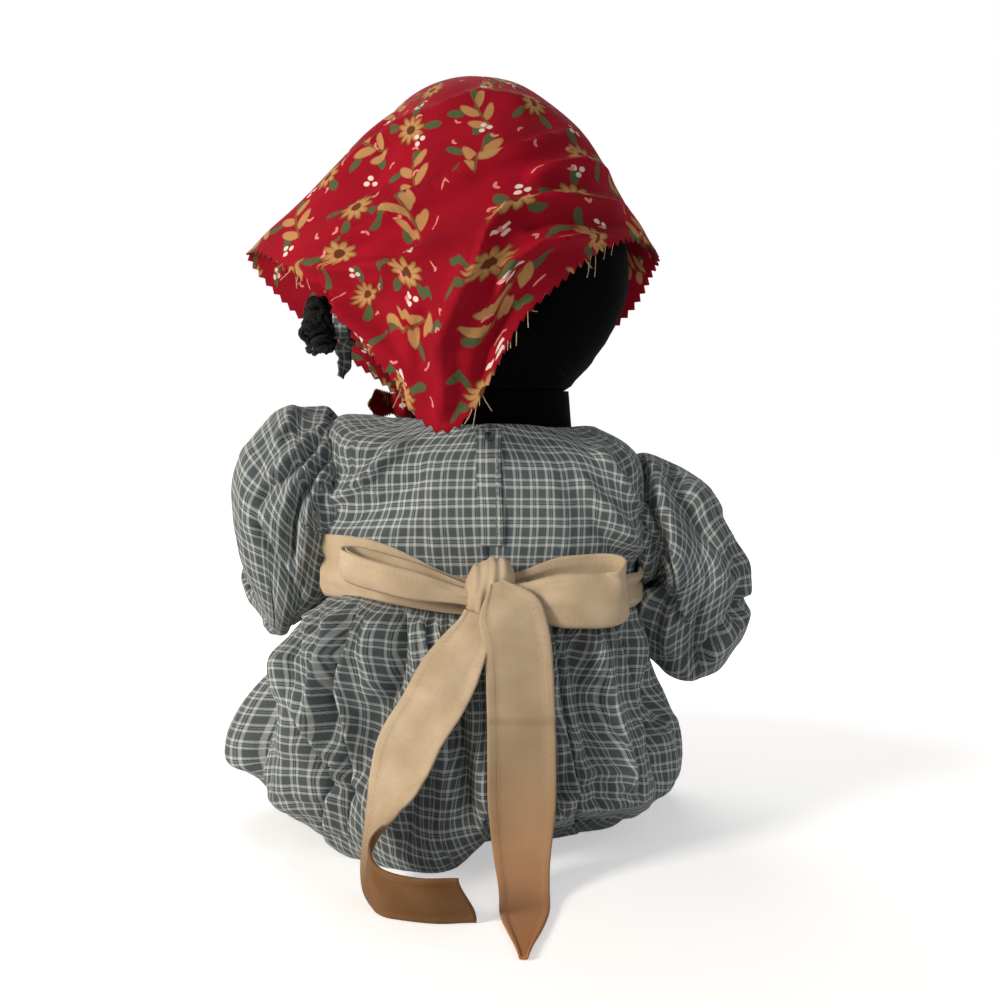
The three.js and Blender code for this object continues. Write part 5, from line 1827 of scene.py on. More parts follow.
@dataclass
class Bodice(Assembly):
    """Loose bodice with set-in armholes and a centre-back opening.

    Attributes:
        armhole: Radius of an armhole.
        arm_height: Height of its middle.
        placket: Width of the placket.
    """

    armhole: float = 22.5
    arm_height: float = SHOULDER
    placket: float = 10.0

    def profile(self, grow: float) -> Points:
        """Stations of its outer face.

        Args:
            grow: How far it is pushed out.

        Returns:
            Rows of height, half width, half depth and power.
        """
        rows = [
            (WAIST, 60.5, 46.25, 2.6, 0), (117.9, 61.5, 46.25, 2.8, 0), (SHOULDER, 60.5, 45.25, 3, 0),
            (152, 58.5, 43, 3, 0), (159, 54, 41, 2.6, 0.8), (166.5, 42.5, 40.5, 2.1, 0.5),
        ]
        return np.array([(z + lift * grow, w + grow, d + grow, p) for z, w, d, p, lift in rows])

    def creases(self) -> list[Crease]:
        """The drag folds of its back.

        Returns:
            The folds, drawn in the photograph's view.
        """
        return [
            Crease([(420, 442), (390, 457), (367, 478), (347, 495), (318, 518)], 4.6, 7, -2.2),
            Crease([(430, 472), (380, 502), (335, 532)], -2.6, 9),
            Crease([(338, 452), (362, 446), (400, 432)], 2.0, 7),
            Crease([(336, 474), (356, 468), (384, 452)], -1.8, 6),
            Crease([(352, 556), (392, 530), (430, 516)], 1.4, 8),
            Crease([(590, 446), (620, 478), (646, 520)], 3.0, 6, 1.6),
            Crease([(576, 470), (604, 512), (638, 552)], 2.8, 7),
            Crease([(600, 496), (626, 530), (646, 566)], 2.6, 6),
            Crease([(612, 446), (634, 486), (648, 530)], -2.6, 6),
            Crease([(592, 520), (616, 552), (636, 580)], -2.2, 6),
            Crease([(545, 455), (560, 510), (566, 560)], 1.2, 9),
            Crease([(440, 470), (432, 520), (440, 570)], 1.2, 9),
            Crease([(468, 420), (486, 428), (502, 433)], 1.2, 4),
        ]

    def shell(self, grow: float, rows: int, turn: Points) -> Points:
        """Grid from the waist up before its folds, with the left shoulder drawn up and out.

        Args:
            grow: How far it is pushed out.
            rows: Count of rows.
            turn: Angles of the columns.

        Returns:
            Points (rows, columns, 3).
        """
        grid = level_rings(self.profile(grow), turn, np.linspace(0, 1, rows))
        x, y, z = np.moveaxis(grid, -1, 0).copy()
        # The sides go out, the left one further, and its lower corner with it.
        high = ease(z, 112, 130)
        spread = (9.0 * high + 3.0 * ease(z, 142, 158)) * ease(-x, 34, 52)
        corner = ease(-x, 20, 44) * ease(-y, 10, 34) * (1 - ease(z, 118, 140))
        grid[..., 0] += 5.0 * ease(x, 36, 52) * high - spread - 7.0 * corner
        # Both shoulders and the back of the neckline go up.
        left = 6.0 * ease(-x, 4, 40) * ease(z, 138, 160)
        left = left + 7.0 * ease(-x, 38, 53) * ease(z, 140, 157)
        right = 2.5 * ease(x, 20, 50) * ease(z, 138, 158)
        neck = 5.5 * ease(z, 142, 166) * hump(x, 6, 40) * ease(-y, -10, 25)
        grid[..., 2] += left + right + neck
        return grid

    def build(self) -> None:
        """Makes the panels, the armhole seams, the placket and the press stud."""
        rows, cols = 58, 288
        turn = angles(cols) - math.pi / 2
        grid = self.shell(0.6, rows, turn)
        ruck = (0.5 + 0.5 * np.sin(46 * turn + 2 * np.sin(5 * turn)))[None]
        ruck = ruck * (1 - ease(grid[..., 2], 98, 124))
        grid = grid + normals(grid, True) * (ruck + ripple(grid, 42.0, 7) * 0.7)[..., None]
        grid = folded(grid, self.creases(), True)
        x, y, z = np.moveaxis(grid, -1, 0)
        gap = np.hypot(y, z - self.arm_height)
        beside = np.abs(x) > 44
        inside = beside & (gap < self.armhole)
        near = beside & (gap >= self.armhole) & (gap < self.armhole + 1.6)
        pull = np.where(near, self.armhole / gap, 1.0)
        grid[..., 1] = y * pull
        grid[..., 2] = self.arm_height + (z - self.arm_height) * pull
        quad = inside | np.roll(inside, -1, 1)
        keep = ~(quad[:-1] | quad[1:])
        whole = closed(grid)
        cut = flat_places(lengths(whole, 1)[20][None], lengths(whole, 0))
        quarter = cols // 4
        panels = [
            ("bodice_back_panel_right", 0, quarter, "bodice_back_right"),
            ("bodice_front_panel", quarter, 3 * quarter, "bodice_front"),
            ("bodice_back_panel_left", 3 * quarter, cols, "bodice_back_left"),
        ]
        for name, start, stop, node in panels:
            part = slice(start, stop + 1)
            piece = sew(name, [Patch(whole[:, part], cut[:, part], keep=keep[:, start:stop])])
            dress(piece, self.finishes.plaid, "doll_body", [node], thick=PLAID_THICK)
        self.seams()
        self.opening(grid[:, 0])

    def surface(self, y: Points, z: Points, grow: float) -> Points:
        """How far out the bodice's side stands at a place of the armhole.

        Args:
            y: Places along the depth.
            z: Heights.
            grow: How far the face is pushed out.

        Returns:
            Distances from the middle.
        """
        stations = self.profile(grow)
        wide, deep, power = (np.interp(z, stations[:, 0], stations[:, k]) for k in (1, 2, 3))
        return wide * np.clip(1 - np.abs(y / deep) ** power, 0, 1) ** (1 / power)

    def seams(self) -> None:
        """Makes the puckered seam round each armhole."""
        for side, name in ((1, "right"), (-1, "left")):
            turn = np.linspace(0, TAU, 120)
            y = (self.armhole + 0.2) * np.cos(turn)
            z = self.arm_height + (self.armhole + 0.2) * np.sin(turn)
            x = side * (self.surface(y, z, 0.6) + 0.2)
            path = np.stack([x, y, z], -1)
            piece = sew(f"armhole_seam_{name}", [strand(path, 0.9 + 0.35 * np.sin(33 * turn), 8)])
            dress(piece, self.finishes.plaid, "doll_body")

    def opening(self, middle_back: Points) -> None:
        """Makes the placket, its stitches and the press stud.

        Args:
            middle_back: Points (rows, 3) of the bodice's middle back, from the waist up.
        """
        rows, cols = 60, 13
        z = np.linspace(124.0, 165.6, rows)
        raised = z + 5.0 * ease(z, 142, 166)
        deep = 0.5 + np.interp(raised, middle_back[:, 2], -middle_back[:, 1])
        x = np.linspace(-self.placket / 2, self.placket / 2, cols)
        lap = 0.25 + 0.5 * ease(x, -4.5, 4.5)
        wave = 0.35 * np.sin(z / 5.0)[:, None] * ease(x, 0, 5)[None]
        sway = x[None] + 0.5 * np.sin(z / 9.0)[:, None]
        stand = deep[:, None] + lap[None] + wave
        grid = np.stack(np.broadcast_arrays(sway, -stand, raised[:, None]), -1)
        piece = sew("placket", [Patch(grid, flat_places(x[None], (z - WAIST)[:, None]))])
        dress(piece, self.finishes.plaid, "doll_body", ["back_placket"], thick=0.8)
        self.stitches(raised, grid[:, 9, 1])
        self.stud(raised, grid[:, 6, 1])

    def stitches(self, heights: Points, face: Points) -> None:
        """Makes the placket's row of stitches and a loose thread by the left armhole.

        Args:
            heights: Heights along the placket.
            face: How far back its face is at these heights.
        """
        count, long, step = 15, 1.8, 2.6
        t = np.linspace(0, 1, 7)
        threads = []
        for n in range(count):
            level = 125.5 + step * n + long * t
            at = np.interp(level, heights, face) - 0.42 - 0.28 * np.sin(math.pi * t)
            threads.append(strand(np.stack([np.full(7, 2.6), at, level], -1), 0.2, 5))
        t = np.linspace(0, 1, 40)
        x = -54 + 10 * t + 1.6 * np.sin(11 * t)
        y = -46.4 - 0.6 * np.sin(8 * t) + 2.5 * (1 - t)
        z = 150 - 6 * t + 2.2 * np.cos(9 * t)
        threads.append(strand(np.stack([x, y, z], -1), 0.18, 4))
        dress(sew("placket_stitches", threads), self.finishes.grey_thread, "doll_body")

    def stud(self, heights: Points, face: Points) -> None:
        """Makes the press stud near the top of the placket.

        Args:
            heights: Heights along the placket.
            face: How far back its face is at these heights.
        """
        raised, proud = 5.5, 1.7
        low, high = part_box("neck_snap")
        seat = (np.array(low) + np.array(high)) / 2 / MM + UP * raised
        seat[1] = np.interp(seat[2], heights, face) - proud
        profile = [
            (2.1, 3.2), (2.2, 1.3), (2.1, 0.8), (1.7, 0.6),
            (1.2, 0.62), (0.95, 0.15), (0.6, 0.0), (0.1, 0.0),
        ]
        ring = around(np.array([1.0, 0.0, 0.0]), UP, angles(32))
        rings = [seat + ring * r + np.array([0.0, d, 0.0]) for r, d in profile]
        piece = sew("press_stud", [shut(np.array(rings))], flip=True)
        dress(piece, self.finishes.steel, "doll_body", ["neck_snap"])


@dataclass
class Skirt(Assembly):
    """Gathered skirt that bulges over the seat and lap and is tucked under.

    Attributes:
        bulge: How far it stands past the waist at the sides.
        back: The same behind.
        lap: The same in front.
        lobe: How much further it spreads on the left.
        floor: Place at which it reaches the floor.
        tucked: Place at which it ends under the seat.
        hem: Place of its hem in front.
    """

    bulge: float = 29.0
    back: float = 32.0
    lap: float = 66.0
    lobe: float = 31.0
    floor: float = 7.0
    tucked: float = 7.9
    hem: float = 2.56

    def ring(self, place: Points, turn: Points, grow: float = 0.0) -> Points:
        """Points of the skirt before its folds.

        Args:
            place: Places (rows, columns) between the waist, 0, and the floor.
            turn: Angles (columns,).
            grow: How far they are pushed out.

        Returns:
            Grid (rows, columns, 3).
        """
        profile = np.array([
            (97, 0, 0, 0, 0), (84.9, 0.1, 0.42, 0.24, 0.3), (63, 0.2, 0.78, 0.66, 1),
            (45.6, 0.56, 0.94, 0.92, 1), (28.1, 0.8, 1, 1, 0.9), (12.6, 0.72, 0.88, 0.98, 0.75),
            (3.4, 0.46, 0.6, 0.9, 0.55), (0, 0.2, 0.32, 0.8, 0.4),
        ])
        values = catmull(profile, (place / self.floor).ravel()).reshape(place.shape + (5,))
        z, side, back, lap, lobe = np.moveaxis(values, -1, 0)
        wide = WAIST_WIDE + self.bulge * side
        behind = WAIST_DEEP + self.back * back
        before = WAIST_DEEP + self.lap * lap
        power = 2 / (2.7 - 0.6 * ease(place, 0, 2))
        c, s = np.cos(turn)[None], np.sin(turn)[None]
        x = wide * np.sign(c) * np.abs(c) ** power
        y = np.where(s > 0, before, behind) * np.sign(s) * np.abs(s) ** power
        left = np.maximum(0, np.cos(turn - math.radians(181))) ** 4
        past = turn - math.radians(217)
        past = np.arctan2(np.sin(past), np.cos(past))[None]
        # The left back panel stands out at its edge, with a hollow beside it.
        hollow = hump(past, -0.36, 0.13) * ease(place, 0.4, 1.4) * (1 - ease(place, 5.0, 6.6))
        edge = np.interp(place, [0, 0.3, 1, 2, 3, 4, 5, 6], [6, 17, 33, 23, 9, 0, -3, 0])
        edge = edge * hump(past, 0.0, 0.33) - 28.0 * hollow
        far = np.hypot(x, y)
        reach = far + self.lobe * left[None] * lobe + edge + grow
        return np.stack([x * reach / far, y * reach / far, np.clip(z, 0, 97)], -1)

    def creases(self) -> list[Crease]:
        """The main folds of its back.

        Returns:
            The folds, drawn in the photograph's view.
        """
        return [
            Crease([(330, 604), (332, 630), (320, 662), (314, 700), (314, 740)], 5.0, 8),
            Crease([(344, 612), (338, 650), (328, 690), (328, 736)], -4.4, 6),
            Crease(
                [(360, 606), (356, 634), (342, 672), (341, 690), (348, 718), (354, 748), (362, 800)],
                0.0, 13, 7.0,
            ),
            Crease([(400, 606), (401, 640), (398, 670), (390, 706)], -7.0, 6),
            Crease([(380, 606), (374, 650), (378, 700)], 4.6, 8),
            Crease([(416, 606), (420, 650), (424, 690)], 4.0, 8),
            Crease([(288, 688), (316, 740), (342, 770), (368, 788)], 4.2, 7),
            Crease([(296, 720), (318, 764), (344, 796)], -3.6, 7),
            Crease([(336, 764), (329, 800), (326, 840)], 0.0, 10, 5.0),
            Crease([(306, 600), (312, 626), (306, 656)], 3.0, 5),
            Crease([(274, 646), (254, 704), (234, 752)], 3.4, 12),
            Crease([(276, 690), (262, 752), (264, 800)], -3.0, 9),
            Crease([(436, 650), (440, 720), (446, 800), (432, 866)], 4.4, 12),
            Crease([(456, 650), (458, 720), (466, 790), (474, 836)], -6.0, 8),
            Crease([(474, 640), (476, 740), (486, 810)], 4.0, 8),
            Crease([(412, 760), (410, 810), (400, 856)], -3.6, 9),
            Crease([(552, 620), (560, 700), (574, 770), (578, 836)], 0.0, 12, -6.0),
            Crease([(570, 620), (584, 690), (600, 780)], -5.0, 7),
            Crease([(590, 616), (604, 690), (622, 760), (624, 812)], 5.4, 9),
            Crease([(612, 620), (634, 690), (648, 756)], 0.0, 10, -6.0),
            Crease([(636, 624), (656, 680), (668, 750)], 4.0, 8),
            Crease([(556, 806), (590, 772), (640, 770)], 3.4, 8),
            Crease([(566, 826), (604, 798), (648, 792)], -3.0, 7),
        ]

    def gathers(self, grid: Points, place: Points, turn: Points) -> Points:
        """How far the gathers and soft lumps stand out.

        Args:
            grid: Points (rows, columns, 3) before them.
            place: Places (rows, columns) from the waist down.
            turn: Angles (columns,).

        Returns:
            Array (rows, columns).
        """
        turn = turn[None]
        low = 1 - ease(place, 5.0, 7.2)
        wander = 1.6 * np.sin(3 * turn + 0.7) + 0.9 * np.sin(5 * turn + 2.0)
        wander = wander + 0.5 * np.sin(place * 1.3 + 2 * turn)
        main = np.abs(np.cos(0.5 * (13 * turn + wander))) ** 0.8
        drift = 2.6 * np.sin(7 * turn) + 1.8 * np.sin(11 * turn + 1)
        fine = np.abs(np.cos(0.5 * (46 * turn + drift + 0.3 * place)))
        uneven = 0.65 + 0.35 * np.sin(4 * turn + 1.0) * np.sin(9 * turn)
        near = np.exp(-place / 1.5) * ease(place, 0.0, 0.25) * uneven
        broad = (main - 1) * 3.4 * ease(place, 0.1, 1.6) * (0.35 + 0.65 * low) * uneven
        lumps = ripple(grid, 40.0, 13) * 2.0 * ease(place, 0.6, 2.0) * low
        return broad + (fine - 0.7) * 7.0 * near + lumps

    def seated(self, grid: Points, place: Points, tuck: Points) -> None:
        """Moves the points in place to how the skirt lies round the seated doll.

        Args:
            grid: Points (rows, columns, 3).
            place: Places (rows, columns) from the waist down.
            tuck: How far each is tucked under.
        """
        x, y, z = np.moveaxis(grid, -1, 0)
        shown = 1 - ease(tuck, 0.1, 0.9)
        # On the floor behind, a lobe under the left tail and a hollow under the right one.
        floor = (1 - ease(z, 4, 34)) * ease(-y, 10, 50)
        y -= (9.0 * hump(x, -26, 16) - 9.0 * hump(x, 6, 14) - 8.0 * ease(x, 14, 40)) * floor
        # Both sides lift off the floor, the left more, and the right is drawn in.
        aside = ease(np.abs(x), 46, 74) * (1 - ease(y, 20, 50))
        lifted = 12.0 + 10.0 * ease(-x, 80, 104)
        right = ease(x, 50, 82) * (1 - ease(z, 6, 42))
        x -= 9.0 * right * (1 - ease(y, 10, 40))
        x += 3.5 * ease(x, 40, 70) * ease(y, 20, 50) * (1 - ease(z, 50, 80))
        z += lifted * (1 - ease(z, 1, 34)) * aside * shown
        # The right flank bulges above and falls back below.
        flank = ease(x, 50, 82) * (1 - ease(y, 10, 40))
        x += flank * (5.5 * hump(z, 49, 10) - 5.0 * hump(z, 21, 12))
        # The hem behind is raised from the tails to the right, the waist on the left.
        raised = 17.0 * ease(x, -22, 4) * (1 - ease(x, 48, 76)) * ease(-y, 10, 45)
        z += raised * (1 - ease(z, 1, 36)) * shown
        z += 6.0 * ease(-x, 16, 58) * ease(-y, -10, 20) * (1 - ease(place, 0.0, 1.3))

    def build(self) -> None:
        """Makes the skirt."""
        rows, cols = 68, 340
        even = np.linspace(-math.pi, math.pi, cols, endpoint=False)
        turn = even - 0.4 * np.sin(even) - math.pi / 2
        front = ease(np.cos(turn - math.pi / 2), 0.52, 0.72)
        stop = self.tucked - front * (self.tucked - self.hem)
        share = np.linspace(0, 1, rows)[:, None]
        place = share * stop[None]
        tuck = np.maximum(place - self.floor, 0)
        grid = self.ring(np.minimum(place, self.floor), turn)
        grid[..., :2] *= (1 - 0.42 * tuck)[..., None]
        grid = grid + outward(grid) * self.gathers(grid, place, turn)[..., None]
        self.seated(grid, place, tuck)
        still = np.maximum(ease(tuck, 0.0, 0.3), ease(share - 0.96, 0, 0.03) * front)
        hold = np.maximum(np.maximum(1 - ease(place, 0.05, 0.3), still), 0.05)
        grid = settled(grid, hold, slack=0.04, stiff=0.8, swell=0.6, most=6.0, flip=True)
        grid = finer(grid, True)
        grid = folded(grid, self.creases(), True, outward(grid))
        grid[..., 2] = np.clip(grid[..., 2], 0.5, 103.0)
        run = np.linspace(0, 540.0, 2 * cols + 1)
        cut = flat_places(run[None], closed(evened(lengths(grid, 0), 14.0)))
        piece = sew("skirt_cloth", [Patch(grid, cut, wrap=True)], flip=True)
        dress(piece, self.finishes.plaid, "doll_body", ["skirt"], thick=PLAID_THICK)


# ---------------------------------------------------------------- apron


@dataclass
class Apron(Assembly):
    """Half apron: gathered panel, waistband and the sash tied in a bow.

    Attributes:
        width: Width of the sash.
        back: How far back the waistband stands.
        bow: Height of the bow.
        knot: Radius of its knot.
    """

    width: float = SASH_WIDTH
    back: float = 49.65
    bow: float = 108.3
    knot: float = 11.0

    def build(self, skirt: Skirt) -> None:
        """Makes every piece of the apron.

        Args:
            skirt: The skirt that the panel lies on.
        """
        self.panel(skirt)
        knot = self.wrapped_knot()
        self.waistband(knot)
        self.loop("right", 51.0, (104.5, 103.5), (108.0, 111.0), full=10.6, plump=3.0, length=0.1)
        self.loop("left", 56.5, (104.5, 116.4), (106.0, 119.4), full=5.5, plump=0.6, length=0.108)
        self.right_tail()
        self.left_tail()

    def panel(self, skirt: Skirt) -> None:
        """Makes the gathered panel on the lap.

        Args:
            skirt: The skirt that it lies on.
        """
        cols = 150
        turn = np.linspace(math.radians(90 - 58), math.radians(90 + 58), cols)
        place = np.linspace(0.1, 2.5, 46)[:, None].repeat(cols, 1)
        grid = skirt.ring(place, turn, 1.0)
        grid[..., 2] += 5.5 * (1 - ease(place, 0.1, 0.7))
        gather = np.abs(np.cos(28 * turn + 0.8 * np.sin(6 * turn)))[None] - 0.5
        depth = gather * (1.5 * np.exp(-place / 1.2) + 0.5) + ripple(grid, 40.0, 21) * 0.8
        depth = depth + 0.4 + 1.6 * ease(place, 0.5, 1.5)
        grid = grid + outward(grid) * depth[..., None]
        cut = flat_places(np.linspace(0, 180.0, cols)[None], lengths(grid, 0))
        piece = sew("apron_cloth", [Patch(grid, cut)])
        dress(piece, self.finishes.muslin, "doll_body", ["apron_panel"], thick=0.8)

    def waistband(self, knot: bpy.types.Object) -> None:
        """Makes the band with its lengthwise rucks.

        Args:
            knot: The knot that its ends are tied in; not used.
        """
        cols, rows = 220, 20
        turn = angles(cols) - math.pi * 1.5
        c, s = np.cos(turn), np.sin(turn)
        x = np.sign(c) * np.abs(c) ** (2 / 2.8)
        y = np.sign(s) * np.abs(s) ** (2 / 2.8)
        share = np.linspace(0, 1, rows)[:, None]
        behind = ease(-y, 0.1, 0.5)
        # Behind, it widens like a fan toward the left and stands out at that corner.
        corner = hump(turn, -math.pi * 0.86, 0.4) * behind
        fan = ease(-x, 0.1, 0.85) * behind
        tall = 19.0 - 5.0 * behind + 11.5 * fan
        rise = tall * (share - 0.5) + 11.5 - 5.5 * behind + 10.8 * fan
        out = 2.3 + 0.9 * np.sin(TAU * 1.6 * share + 1.3 * np.sin(3 * turn))
        out = out + 0.4 * np.sin(TAU * 3 * share + 2 * np.sin(5 * turn + 1))
        x, y = x * (WAIST_WIDE + out) - 9.0 * corner, y * (47.5 + out) - corner
        piece = sew("apron_band", [Patch(np.stack([x, y, 97.8 + rise], -1), wrap=True)])
        dress(piece, self.finishes.muslin, "doll_body", ["apron_waistband"], thick=MUSLIN_THICK)

    def strip(self, grid: Points) -> Patch:
        """A patch of the sash, laid out by its own width and length.

        Args:
            grid: Points (rows, columns, 3).

        Returns:
            The patch.
        """
        rows, cols = grid.shape[:2]
        across = np.linspace(0, self.width, cols)[None].repeat(rows, 0)
        along = lengths(grid, 0).mean(1, keepdims=True).repeat(cols, 1)
        return Patch(grid, np.stack([across, along], -1))

    def loop(
        self,
        name: str,
        reach: float,
        near_z: Pair,
        far_z: Pair,
        full: float,
        plump: float,
        length: float,
    ) -> None:
        """Makes one loop of the bow. The left one is folded in half along its length.

        Args:
            name: Name of the side.
            reach: How far it goes out.
            near_z: Height of its outer layer at the knot and at its end.
            far_z: The same for the layer next to the waistband.
            full: Half the width that shows at its end.
            plump: How far its outer layer bulges.
            length: Length of sash in it, in metres; not used.
        """
        side = 1 if name == "right" else -1
        double = side < 0
        rows, columns = 90, 41 if double else 21
        near, far, start = self.back + 2.6, self.back + 13.5, self.knot * 0.6
        bends = [
            (start, far - 3), (reach * 0.45, far - 0.5), (reach * 0.85, far - 2.5), (reach, far - 6.75),
            (reach * 0.92, near - 1.6), (reach * 0.5, near + 0.8), (start, near + 3),
        ]
        t = np.linspace(0, 1, rows)
        across, behind = catmull(np.array(bends), t).T
        out = (across - start) / (reach - start)
        half = full * (0.5 + 0.5 * ease(out, 0, 0.55))
        lag = ease(t, 0.3, 0.72)
        outer = near_z[0] + (near_z[1] - near_z[0]) * out
        inner = far_z[0] + (far_z[1] - far_z[0]) * out
        path = np.stack([side * across, -behind, outer * (1 - lag) + inner * lag], -1)
        belly = 0.6 + plump * ease(out, 0.1, 0.6) * (1 - lag)
        grid = ribbon(path, np.repeat(-side * UP[None], rows, 0), half, columns, belly, 0.3, double)
        ruck = np.sin(np.linspace(-1, 1, columns)[None] * 9 + 1.5) * 1.1 * np.exp(-out / 0.28)[:, None]
        grid[..., 1] -= ruck * (0.3 if double else 1.0)
        grid[..., 1] -= ripple(grid, 24.0, 31 + side) * 0.6
        piece = sew(f"sash_loop_{name}", [self.strip(grid)])
        dress(piece, self.finishes.sash, "doll_body", [f"bow_loop_{name}"], thick=MUSLIN_THICK)

    def wrapped_knot(self) -> bpy.types.Object:
        """Makes the knot, a strip drawn tight round the loops.

        Returns:
            The piece.
        """
        turn = angles(80)[None]
        across = np.linspace(-1, 1, 33)[:, None]
        slant = 0.22
        middle = np.array([0.0, -self.back - 8.3, self.bow])
        squeeze = np.sqrt(np.clip(1 - 0.93 * np.abs(across) ** 2.6, 0, 1))
        pleat = 1 + 0.045 * np.sin(10 * across + 1.4 * np.sin(turn))
        pleat = pleat + 0.03 * np.sin(17 * across - 2 * np.sin(2 * turn))
        r = squeeze * pleat
        x = across * 10.0 + np.zeros_like(r)
        grid = np.stack([x, -7.9 * r * np.cos(turn), 11.6 * r * np.sin(turn) + slant * x], -1)
        piece = sew("sash_knot", [shut(middle + grid)])
        dress(piece, self.finishes.muslin, "doll_body", ["bow_knot"])
        return piece

    def right_tail(self) -> None:
        """Makes the tail that falls from over the knot to a point on the floor."""
        points = np.array([
            (2.5, -66.2, 111.5), (5.5, -67.8, 105), (9.0, -68.5, 96), (11.0, -71.0, 84.9),
            (12.0, -76.5, 63), (12.2, -80.5, 45.6), (12.2, -83.0, 28.1), (12.3, -89.0, 11.5),
            (12.8, -110.0, 2.0), (11.6, -160.0, 0.9),
        ])
        t = np.linspace(0, 1, 120)
        across = np.stack([np.ones_like(t), 0.12 * np.sin(6 * t), -0.25 * (1 - ease(t, 0.0, 0.3))], -1)
        half = 13.0 * (0.16 + 0.84 * ease(t, -0.04, 0.2)) * (1 - 0.3 * ease(t, 0.62, 0.9))
        half = half * (1 - 0.9 * ease(t, 0.9, 1.02))
        belly = 1.2 * np.sin(8 * t) * ease(t, 0.1, 0.3) * (1 - ease(t, 0.78, 0.86))
        grid = ribbon(catmull(points, t), -unit(across), half, 25, belly)
        kink = hump(grid[..., 2], 62, 2.2) - 0.7 * hump(grid[..., 2], 57, 3.0)
        grid[..., 1] -= 1.2 * kink + ripple(grid, 26.0, 45) * 0.6 * ease(t, 0.08, 0.2)[:, None]
        grid[..., 2] = np.maximum(grid[..., 2], 0.6)
        piece = sew("sash_end_right", [self.strip(grid)])
        dress(
            piece, self.finishes.tail_right, "doll_body", ["sash_tail_right"], thick=MUSLIN_THICK
        )

    def left_tail(self) -> None:
        """Makes the tail that falls to the left and curls on the floor."""
        points = np.array([
            (-4.5, -63.0, 99.0), (-7.5, -66.5, 91), (-14.5, -72.0, 78.7), (-21.5, -76.5, 66),
            (-29.5, -80.5, 53.7), (-34.5, -83.5, 41), (-39.0, -87.0, 29), (-42.5, -95.0, 18.0),
            (-42.0, -110.0, 12.5), (-35.0, -126.0, 10.5), (-20.0, -132.0, 10.0), (-4.0, -132.0, 10.0),
        ])
        turns = np.array([
            (1, 0, 0.3), (1, 0, 0.45), (1, 0, 0.55), (1, 0, 0.55), (1, -0.1, 0.5), (0.9, -0.35, 0.45),
            (0.66, -0.6, 0.5), (0.36, -0.6, 0.66), (0.1, -0.5, 0.8), (0.0, -0.5, 0.86),
            (-0.05, -0.5, 0.86), (-0.1, -0.5, 0.86),
        ])
        t = np.linspace(0, 1, 130)
        half = 12.4 * (0.45 + 0.55 * ease(t, 0, 0.2)) * (1 - 0.1 * ease(t, 0.6, 0.95))
        belly = 1.4 * np.sin(9 * t + 0.6) * ease(t, 0.08, 0.25)
        grid = ribbon(catmull(points, t), -unit(catmull(turns, t)), half, 25, belly)
        x, y, z = np.moveaxis(grid, -1, 0)
        kink = hump(z + 0.3 * x, 63, 2.4) * ease(-x, 8, 20)
        y -= kink + ripple(grid, 24.0, 51) * 0.6 * ease(t, 0.08, 0.2)[:, None]
        x -= 6.0 * ease(t, 0.86, 1.0)[:, None] * ease(z, 1.0, 19.0)
        grid[..., 2] = np.maximum(z, 0.6)
        piece = sew("sash_end_left", [self.strip(grid)])
        dress(
            piece, self.finishes.tail_left, "doll_body", ["sash_tail_left"], thick=MUSLIN_THICK
        )


# ---------------------------------------------------------------- arms


